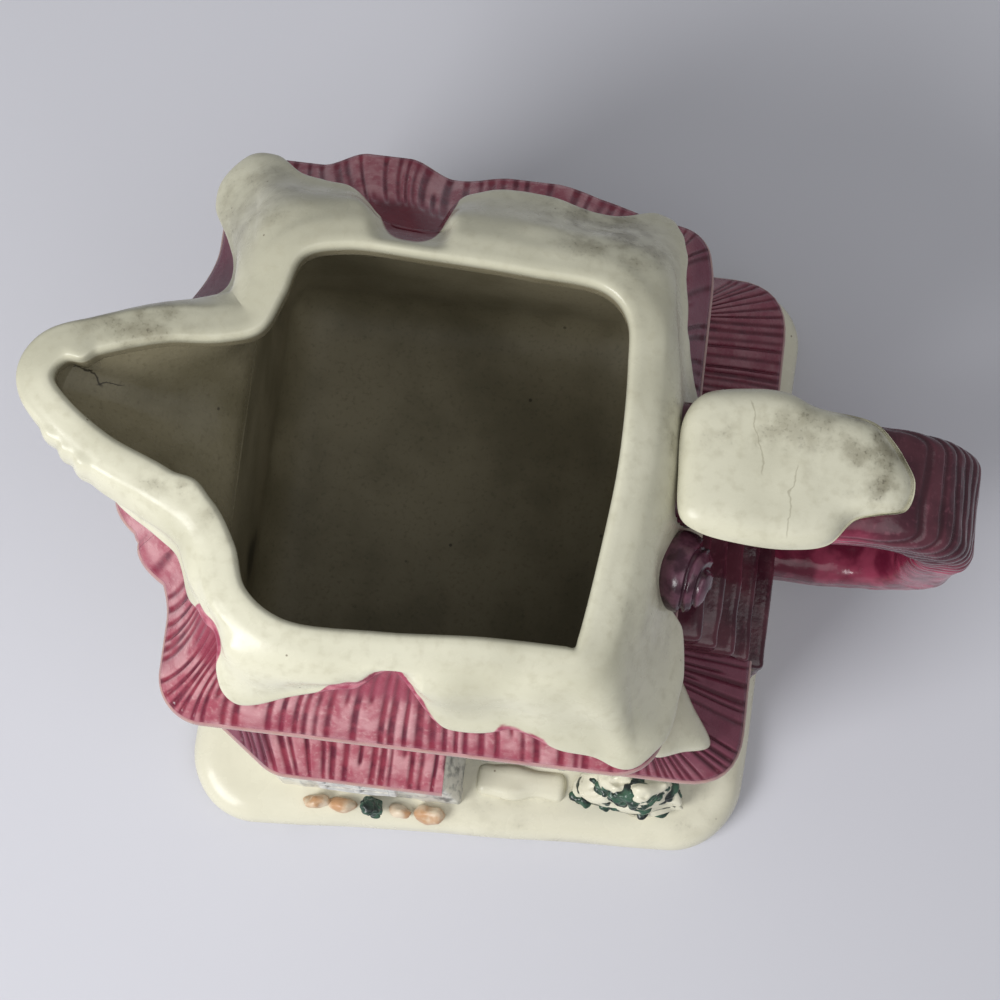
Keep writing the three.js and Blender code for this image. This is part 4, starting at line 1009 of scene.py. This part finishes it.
def add_handle():
    """The brick loop, swept from the roof out, down and back to the chimney breast."""
    low, high = corners("handle")
    half = HANDLE_THICK / 2
    top = high[2] - half
    foot = low[2] + half
    turn_x = high[0] - half - HANDLE_BEND
    line = [(WALL_X - 2.5, top)]
    for turn_z, start, end in ((top - HANDLE_BEND, 90, 0), (foot + HANDLE_BEND, 0, -90)):
        for turn in np.radians(np.linspace(start, end, 24)):
            line.append((turn_x + HANDLE_BEND * math.cos(turn), turn_z + HANDLE_BEND * math.sin(turn)))
    line.append((BREAST_HIGH[0] - 2, foot))
    path = resample(line, 420, closed=False)
    middle_y = (high + low)[1] / 2
    section = round_rectangle(half, (high - low)[1] / 2, HANDLE_EDGE, 130)
    plain = sweep(path, section[None] + (0, middle_y))
    depth = high[2] - plain[..., 2]
    joint_and_shade = course_joint(depth + 0.3 * noise(plain, 9, 30)) * ease(depth, 0.8, 2.2) * ease(depth, 30, 18)
    inwards = JOINT_DEPTH * joint_and_shade + 0.35 * noise(plain, 7, 31) + 0.1 * noise(plain, 2.2, 32)
    profile = section[None] - outward(section)[None] * (inwards + 0.2)[..., None]
    rows = sweep(path, profile + (0, middle_y))
    # Crimson on the near side stops short of the root, which stays dark plum as a painted shadow line beside
    # the lip's snow.
    near = ease(middle_y - rows[..., 1], 4, 8) * bump(rows[..., 0], 56, 68, 10)
    crimson = np.maximum(ease(depth, 12, 24), near)
    add_piece("handle", loft(rows, values={"joint_and_shade": joint_and_shade, "crimson": crimson}), "brick_glaze")


def add_handle_snow():
    """A boxy cushion of snow that sags a little over the sides of the handle."""
    outline = resample(curve(HANDLE_SNOW, 16, closed=True), 300)
    low, high = corners("handle_snow")
    hub = np.mean(HANDLE_SNOW, axis=0)
    rise = high[2] - low[2]
    rows = [level(mix(hub, outline, 0.7), low[2] - 1.2), level(mix(hub, outline, 0.93), low[2] - 0.6)]
    for share in HANDLE_SNOW_ROWS:
        top = len(rows) > 3
        plan = mix(hub, outline, share)
        up = low[2] + rise * (mix(0.3, 1, (1 - share ** 7) ** 0.55) if top else 0.1 * len(rows))
        fall = 1.6 * ease(plan[:, 0], 58, 80) * top
        lump = (0.5 * noise(level(plan, 0), 9, 41) - 0.4) * top
        rows.append(level(plan, up - fall + lump))
    fine = curve(rows, 3)
    # Dirt and painted shade: the far end of the cushion is darker.
    far = ease(fine[..., 0] + 0.4 * fine[..., 1], 60, 76)
    grime_and_shade = np.maximum(far, 0.6 * ease(noise(fine, 11, 42), 0.1, 0.6) * ease(fine[..., 1], -2, 8))
    add_piece("handle_snow", loft(fine, values={"grime_and_shade": grime_and_shade}), "snow_glaze")


def add_breast():
    """Courses of the chimney breast, rounded like worn brick, stepping back as they rise."""
    skins = []
    for step in range(BREAST_STEPS):
        share = step / (BREAST_STEPS - 1)
        inset = 0.2 * step
        reach = mix(BREAST_HIGH[0], WALL_X + BREAST_HEAD, share)
        top = mix(YARD + BREAST_SHOULDER, BREAST_HIGH[2], share)
        low = (WALL_X - SUNK, BREAST_LOW[1] + inset, YARD - SUNK)
        skin, out = rounded_box(low, (reach, BREAST_HIGH[1] - inset, top), 1.5, 0.7)
        at = skin.points
        joint_and_shade = 0.6 * course_joint(at[:, 2] - YARD) * ease(np.abs(out[:, 2]), 0.5, 0.2)
        skin.points = at - out * (JOINT_DEPTH * joint_and_shade + 0.3 * noise(at, 5, 51) + 0.2)[:, None]
        skin.values = {"joint_and_shade": joint_and_shade}
        skins.append(skin)
    add_piece("chimney_breast", join(skins), "brick_glaze")


def ball(rings, count):
    """Directions over a ball, as rows from its foot to its top."""
    tilt = np.linspace(-math.pi / 2, math.pi / 2, rings + 2)[1:-1, None]
    turn = np.linspace(0, 2 * math.pi, count, endpoint=False)[None, :]
    flat = np.cos(tilt)
    return np.stack(np.broadcast_arrays(flat * np.cos(turn), flat * np.sin(turn), np.sin(tilt)), axis=-1)


def add_knuckle():
    """The dark lump beside the handle, with ridges that curl round its front corner like a scroll."""
    low, high = corners("chimney_knuckle")
    low = low - (2, 0, 0)
    half = (high - low) / 2
    way = ball(60, 110)
    at = way * half + (low + high) / 2
    eye = (high[0] - 0.5, low[1] + 2)
    from_eye = norm((at[..., :2] - eye) * SCROLL_OVAL)
    ridges = np.sin(2 * np.pi * from_eye / SCROLL_PITCH + 0.8 * noise(at, 6, 60))
    joint_and_shade = ease(ridges, 0.1, 0.9) * ease(from_eye, 7, 5)
    lump = 1 - 0.1 * joint_and_shade + 0.1 * noise(at, 5, 61)
    rows = way * half * (0.97 * lump)[..., None] + (low + high) / 2
    add_piece("chimney_knuckle", loft(rows, values={"joint_and_shade": joint_and_shade}), "plum_glaze")


# Sheds and porch
LEAN_COUNT = 420
SHED_ROOF_LOW, SHED_ROOF_HIGH = corners("front_shed_roof")
SHED_CORNER = 10
SHED_THICK = 2.2
SHED_RIB_PITCH = 1.7
# Plan of the drift on the front shed, its middle, and its rows' shares of that outline and heights
SHED_SNOW = [(43, -46), (48.5, -44.5), (53.5, -42.5), (49.5, -36), (46, -31), (43.5, -30), (42, -38)]
SHED_SNOW_MIDDLE = (46, -39.5)
SHED_SNOW_ROWS = [(0.9, -1.2), (1.0, 0.2), (0.98, 0.9), (0.9, 1.6), (0.7, 2.2), (0.4, 2.5), (0.08, 2.6)]
PORCH_LOW, PORCH_HIGH = corners("porch_walls")
PORCH_RIB_PITCH = 2
PORCH_THICK = 2
PORCH_BATTER = 2
PORCH_END_BATTER = 5
PORCH_CANT = 11
PORCH_EDGE = 2
PORCH_OVERHANG = 1.7


def lean_roof(name, plan, low, ridge, thick, pitch, seed, plum_and_shade):
    """A ribbed roof against a wall, from its eave's plan at a low level to the few points of its ridge."""
    foot = resample(level(plan, low), LEAN_COUNT, closed=False)
    run = distances(foot)
    at = np.linspace(0, 1, LEAN_COUNT)
    ridge_at = np.linspace(0, 1, len(ridge))
    head = np.stack([np.interp(at, ridge_at, column) for column in np.array(ridge, float).T], axis=1)
    foot = foot + (0, 0, thick)
    behind = [level(head[:, :2], foot[:, 2] - thick)]
    out = outward(foot[:, :2], closed=False)
    ribs = Ribs(run[-1], pitch, seed)
    bare = np.full(LEAN_COUNT, 1.3)
    rows, values = roof_skin(foot, (foot + head) / 2, head, out, run, ribs, bare, thick, behind, False)
    values["plum_and_shade"] = plum_and_shade(rows)
    add_piece(name, loft(rows, ring=True, closed=False, values=values), "roof_glaze")


def add_sheds():
    """Lean-to sheds on both sides of the chimney breast, and the drift on the front one."""
    far = SHED_ROOF_HIGH[0]
    low = SHED_ROOF_LOW[2]
    top = SHED_ROOF_HIGH[2]
    back = WALL_X - SUNK

    def shed_roof(name, plan, ridge, seed, plum_and_shade):
        plan = rounded(plan, SHED_CORNER, closed=False)
        ridge = [(back, y, top) for y in ridge]
        lean_roof(name, plan, low, ridge, SHED_THICK, SHED_RIB_PITCH, seed, plum_and_shade)

    end = SHED_ROOF_LOW[1]
    breast = SHED_ROOF_HIGH[1] + SUNK
    plan = [(back, end), (far, end), (far, breast)]
    ridge = (end + SHED_CORNER, end + SHED_CORNER + 2, breast)
    shed_roof("front_shed_roof", plan, ridge, 71, lambda rows: 0.6 + 0.4 * ease(rows[..., 1], -50, -44))
    back_low, back_high = corners("back_shed_roof")
    end = back_high[1]
    breast = back_low[1] - SUNK
    plan = [(far, breast), (far, end), (back, end)]
    ridge = (breast, end - SHED_CORNER - 2, end - SHED_CORNER)
    shed_roof("back_shed_roof", plan, ridge, 72, lambda rows: 0.65)
    for name in ("front_shed_walls", "back_shed_walls"):
        box_low, box_high = corners(name) + [[-SUNK, 0, -SUNK], [0, 0, 0.5]]
        skin, out = rounded_box(box_low, box_high, 2.5, 0.6)
        skin.points = skin.points + out * (plaster(skin.points, 81) - 0.2)[:, None]
        add_piece(name, skin, "wall_glaze")

    outline = resample(curve(SHED_SNOW, 12, closed=True), 160)
    slope = (top - low - SHED_THICK) / (far - back)
    rows = []
    for share, lift in SHED_SNOW_ROWS:
        plan = mix(SHED_SNOW_MIDDLE, outline, share)
        rows.append(level(plan, top - (plan[:, 0] - back) * slope + lift))
    add_piece("shed_snow", loft(curve(rows, 4)), "snow_glaze")


def add_porch():
    """The bay on the front wall: battered walls, the left one canted, under a ribbed roof with a hip."""
    low, high = PORCH_LOW, PORCH_HIGH
    back = SUNK - WALL_Y
    rows = []
    for share in np.linspace(-0.03, 1, 70):
        left = low[0] + PORCH_BATTER * share
        right = high[0] - PORCH_END_BATTER * share
        front = low[1] + PORCH_BATTER * share
        plan = [(left, back), (left + PORCH_CANT, front), (right, front), (right, back)]
        plan = resample(rounded(plan, 1.2), 360)
        at = level(plan, mix(low[2], high[2] + 0.4, share))
        rows.append(push(at, outward(plan), plaster(at, 91, size=2) - 0.2))
    rows = np.array(rows)
    end = high[0] - PORCH_END_BATTER
    values = {"shade": ease(rows[..., 0], end - 1, end + 1)}
    add_piece("porch_walls", loft(rows, values=values), "wall_glaze")
    low, high = corners("porch_roof")
    turn = low[0] + PORCH_CANT + PORCH_OVERHANG
    plan = rounded([(low[0], -WALL_Y - PORCH_EDGE), (turn, low[1]), (high[0], low[1])], 2.5, closed=False)
    hip = mix(low[0], turn, 0.6)
    middle = mix(turn, high[0], 0.5)
    ridge = [(low[0] + 0.5, back, low[2] + 3)] + [(x, back, high[2]) for x in (hip, middle, high[0])]

    # The canted hip is made dark plum as painted shade.
    def dark(rows):
        return 0.9 * ease(rows[..., 0], turn + 0.5, turn - 2)

    lean_roof("porch_roof", plan, low[2], ridge, PORCH_THICK, PORCH_RIB_PITCH, 93, dark)


# Windows and door
WINDOW_BAR = 1.8
# A window's parts: rounding, glaze and slot
WINDOW_PARTS = {"panes": (0.4, "pane_glaze", "pane_glaze"), "frame": (0.6, "frame_glaze", "timber_glaze")}
DOOR_COUNT = 90
DOOR_GAP = 0.3


def lean(points):
    """Shears points back with the porch's battered front wall."""
    share = (points[:, 2] - PORCH_LOW[2]) / (PORCH_HIGH[2] - PORCH_LOW[2])
    return points + np.outer(PORCH_BATTER * share, [0, 1, 0])


def add_window(name, across, front=None):
    """A window with a cross of bars. across is the axis along its wall, and front places a leaning one."""
    for part, (radius, glaze, slot) in WINDOW_PARTS.items():
        low, high = corners(f"{name}_{part}")
        if front is not None:
            low[1], high[1] = front[part]
        bars = [(low[across], high[across], low[2], high[2])]
        if part == "frame":
            left, right, sill, head = bars[0]
            middle = (left + right - WINDOW_BAR) / 2
            half_way = (sill + head - WINDOW_BAR) / 2
            bars = [(x, x + WINDOW_BAR, sill, head) for x in (left, middle, right - WINDOW_BAR)]
            bars += [(left, right, z, z + WINDOW_BAR) for z in (sill, half_way, head - WINDOW_BAR)]
        skins = []
        for start, end, foot, top in bars:
            bar_low = low.copy()
            bar_high = high.copy()
            bar_low[[across, 2]] = start, foot
            bar_high[[across, 2]] = end, top
            skin, out = rounded_box(bar_low, bar_high, radius, 0.9)
            skin.points = skin.points + out * (0.12 * noise(skin.points, 2.5, 101))[:, None]
            skin.points = skin.points if front is None else lean(skin.points)
            skin.values = {"joint_and_shade": ease(np.abs(out).max(axis=1), 0.98, 0.8)}
            skins.append(skin)
        add_piece(f"{name}_{part}", join(skins), glaze)


def add_windows():
    for number in (1, 2):
        add_window(f"back_window_{number}", 0)
        add_window(f"spout_end_window_{number}", 1)
    wall = PORCH_LOW[1]
    add_window("porch_window", 0, {"panes": (wall - 0.7, wall + 0.8), "frame": (wall - 1.6, wall + 0.4)})


def add_door():
    """An arched door of planks, its frame, and the step before it under snow."""
    low, high = corners("front_door")
    half = (high[0] - low[0]) / 2
    middle = (high[0] + low[0]) / 2
    springing = high[2] - half
    across = np.linspace(-1, 1, DOOR_COUNT)
    x = middle + half * across
    top = springing + half * np.sqrt(np.clip(1 - across ** 2, 0, 1))
    plank = half / 2
    to_gap = np.abs(half * across / plank - np.round(half * across / plank)) * plank
    gap = np.exp(-(to_gap / DOOR_GAP) ** 2) * ease(1 - np.abs(across), 0.02, 0.1)
    rows = []
    for share in np.linspace(-0.04, 1, 60):
        z = low[2] + (top - low[2]) * share
        grain = 0.12 * noise(np.column_stack([x, 0 * x, 0.2 * z]), 1.2, 111)
        face = np.column_stack([x, low[1] + 0.5 * gap + grain, z])
        rear = np.column_stack([x, np.full(DOOR_COUNT, high[1] + 1), z])[::-1]
        rows.append(np.concatenate([face, rear]))
    add_piece("front_door", loft(rows, values={"joint_and_shade": np.concatenate([gap, 0 * gap])}), "timber_glaze")

    low, high = corners("front_door_frame")
    width = (high[0] - low[0]) / 2 - half
    radius = half + width / 2
    turns = np.radians(np.linspace(180, 0, 40))
    line = [(middle - radius, low[2] - 0.5)]
    line += [(middle + radius * math.cos(turn), springing + radius * math.sin(turn)) for turn in turns]
    line += [(middle + radius, low[2] - 0.5)]
    path = resample(line, 160, closed=False)
    rear = high[1] + 1
    section = round_rectangle(width / 2, (rear - low[1]) / 2, 0.7, 40, (0, (low[1] + rear) / 2))
    rows = sweep(path, section[None])
    rows = rows + 0.15 * noise(rows, 2.5, 112)[..., None]
    add_piece("front_door_frame", loft(rows), "wall_glaze")
    low, high = corners("door_step")
    skin, out = rounded_box(low - (0, 0, SUNK), high, 1.6, 0.6)
    skin.points = skin.points + out * noise(skin.points, 5, 113)[:, None] - (0, 0, 0.3)
    # The step's snow is lightened as painted light.
    skin.values = {"painted_light": np.ones(len(out))}
    add_piece("door_step", skin, "snow_glaze")


# Yard
STONES = 4
PORCH_LEAVES = 70
PORCH_LEAF = (1.1, 1.0, 0.8)
CORNER_LEAVES = 150
CORNER_LEAF = (1.4, 1.2, 1.0)


def mound(low, high, power):
    """Rows of a mound over an oval that fills a box, from its edge to its middle."""
    turn = np.linspace(0, 2 * math.pi, 120, endpoint=False)
    way = np.column_stack([np.cos(turn), np.sin(turn)]) * (high - low)[:2] / 2
    middle = (high + low)[:2] / 2
    shares = np.linspace(1, 0.03, 30)
    rows = [level(middle + way * share, mix(low[2], high[2], (1 - share ** 2) ** power)) for share in shares]
    return np.array(rows)


def lumps(places, size, seed):
    """Uneven lumps at places, as one skin, with their undersides darkened as painted shade."""
    random = np.random.default_rng(seed)
    way = ball(14, 24)
    joint_and_shade = ease(way[..., 2], 0.1, -0.7)
    skins = []
    for place in places:
        rows = way * (size * random.uniform(0.75, 1.2, 3))
        rows = rows * (1 + 0.4 * noise(rows + place, 0.7 * np.max(size), seed))[..., None]
        skins.append(loft(rows + place, values={"joint_and_shade": joint_and_shade}))
    return join(skins)


def add_yard():
    """Stones and a leafy bush before the porch, and the snow-laden bush at the corner."""
    for number in range(1, STONES + 1):
        low, high = corners(f"yard_stone_{number}")
        half = (high - low) / 2 * (1, 0.8, 0.8)
        skin = lumps([(low + high) / 2 - (0, 0, 1.8)], half, 120 + number)
        add_piece(f"yard_stone_{number}", skin, "stone_glaze")
    random = np.random.default_rng(131)
    low, high = corners("porch_bush")
    share = random.random((PORCH_LEAVES, 3))
    share[:, :2] = 0.5 + (share[:, :2] - 0.5) * (1 - 0.6 * share[:, 2:])
    add_piece("porch_bush", lumps(mix(low + 1, high - 1, share), PORCH_LEAF, 132), "leaf_glaze")

    # The corner bush is a dome of leaves under a blanket of snow with holes; the dome is darkened all over as
    # painted shade in the holes
    low, high = corners("corner_bush")
    top = corners("corner_bush_snow")[1][2]
    dome = mound(low - (0, 1, 1), np.append(high[:2], top - 1.5), 0.6)
    dome[..., :2] += 1.8 * np.stack([noise(dome, 5, 135), noise(dome, 5, 136)], axis=-1)
    dome[..., 2] += 2 * noise(dome, 4, 137) * ease(dome[..., 2], YARD, YARD + 6)
    out = unit(dome - dome.mean(axis=(0, 1)) * (1, 1, 0))
    places = random.choice((dome - 0.6 * out).reshape(-1, 3), CORNER_LEAVES)
    core = loft(dome, values={"joint_and_shade": np.array(1)})
    add_piece("corner_bush", join([core, lumps(places, CORNER_LEAF, 133)]), "leaf_glaze")
    cover = noise(dome * (0.7, 1, 1), 2, 134) + 0.5 * noise(dome, 1, 138)
    cover = 1.3 * cover + 1.1 - 1.1 * ease(dome[..., 2], YARD + 8, YARD + 2)
    rows = dome + out * np.clip(cover, -0.8, 1.5)[..., None]
    # The bush's snow is lightened as painted light.
    add_piece("corner_bush_snow", loft(rows, values={"painted_light": np.array(1)}), "snow_glaze")


def build():
    ring = RoofRing()
    add_base()
    add_walls()
    add_roof(ring)
    add_roof_snow(ring)
    add_handle()
    add_handle_snow()
    add_breast()
    add_knuckle()
    add_sheds()
    add_porch()
    add_windows()
    add_door()
    add_yard()


# Floor and light, in metres
FLOOR_REACH = 2.0
SKY = (0.95, 0.97, 1.0, 1)
SKY_STRENGTH = 0.29
LAMP_SPREAD = math.radians(110)
LAMP_TARGET = (0, 0, 0.05)
# The lamps' places, sizes and powers
LAMPS = {"key": ((-0.4, -0.4, 0.46), 0.34, 1.62), "fill": ((0.3, -0.3, 0.9), 0.8, 0.92)}
# The photograph's viewpoint, in millimetres and degrees in the house's frame
EYE = (16.4, -74.8, 485.5)
EYE_AZIMUTH = 4.56
EYE_ELEVATION = 80.5
EYE_ROLL = 2.38
LENS = 86.4
SENSOR = 36.0
CLIP_START = 0.01


def add_stage():
    """A plain pale floor, an even sky, and soft lamps before the object."""
    mesh = bpy.data.meshes.new("floor")
    square = [(x * FLOOR_REACH, y * FLOOR_REACH, 0) for x, y in ((-1, -1), (1, -1), (1, 1), (-1, 1))]
    mesh.from_pydata(square, [], [(0, 1, 2, 3)])
    matt = bpy.data.materials.new("floor")
    matt.use_nodes = True
    shader = matt.node_tree.nodes["Principled BSDF"]
    shader.inputs["Base Color"].default_value = colour("cfcfd6")
    shader.inputs["Roughness"].default_value = 0.8
    mesh.materials.append(matt)
    add_object("floor", mesh)

    world = bpy.data.worlds.new("studio")
    world.use_nodes = True
    sky = world.node_tree.nodes["Background"]
    sky.inputs["Color"].default_value = SKY
    sky.inputs["Strength"].default_value = SKY_STRENGTH
    bpy.context.scene.world = world
    bpy.context.scene.view_settings.view_transform = "Standard"
    for name, (place, size, power) in LAMPS.items():
        lamp = bpy.data.lights.new(name, "AREA")
        lamp.size = size
        lamp.energy = power
        lamp.spread = LAMP_SPREAD
        aim = (Vector(LAMP_TARGET) - Vector(place)).to_track_quat("-Z", "Y").to_matrix().to_4x4()
        add_object(name, lamp).matrix_world = Matrix.Translation(place) @ aim


def add_camera():
    """A camera above and a little before the object."""
    camera = bpy.data.cameras.new("camera")
    camera.lens = LENS
    camera.sensor_width = SENSOR
    camera.clip_start = CLIP_START
    view = Matrix.Translation((np.array(EYE) + HOUSE_AT) * MM)
    for degrees, axis in ((EYE_AZIMUTH, "Z"), (90 - EYE_ELEVATION, "X"), (EYE_ROLL, "Z")):
        view = view @ Matrix.Rotation(math.radians(degrees), 4, axis)
    bpy.context.scene.camera = add_object("camera", camera)
    bpy.context.scene.camera.matrix_world = view


build()
add_stage()
add_camera()
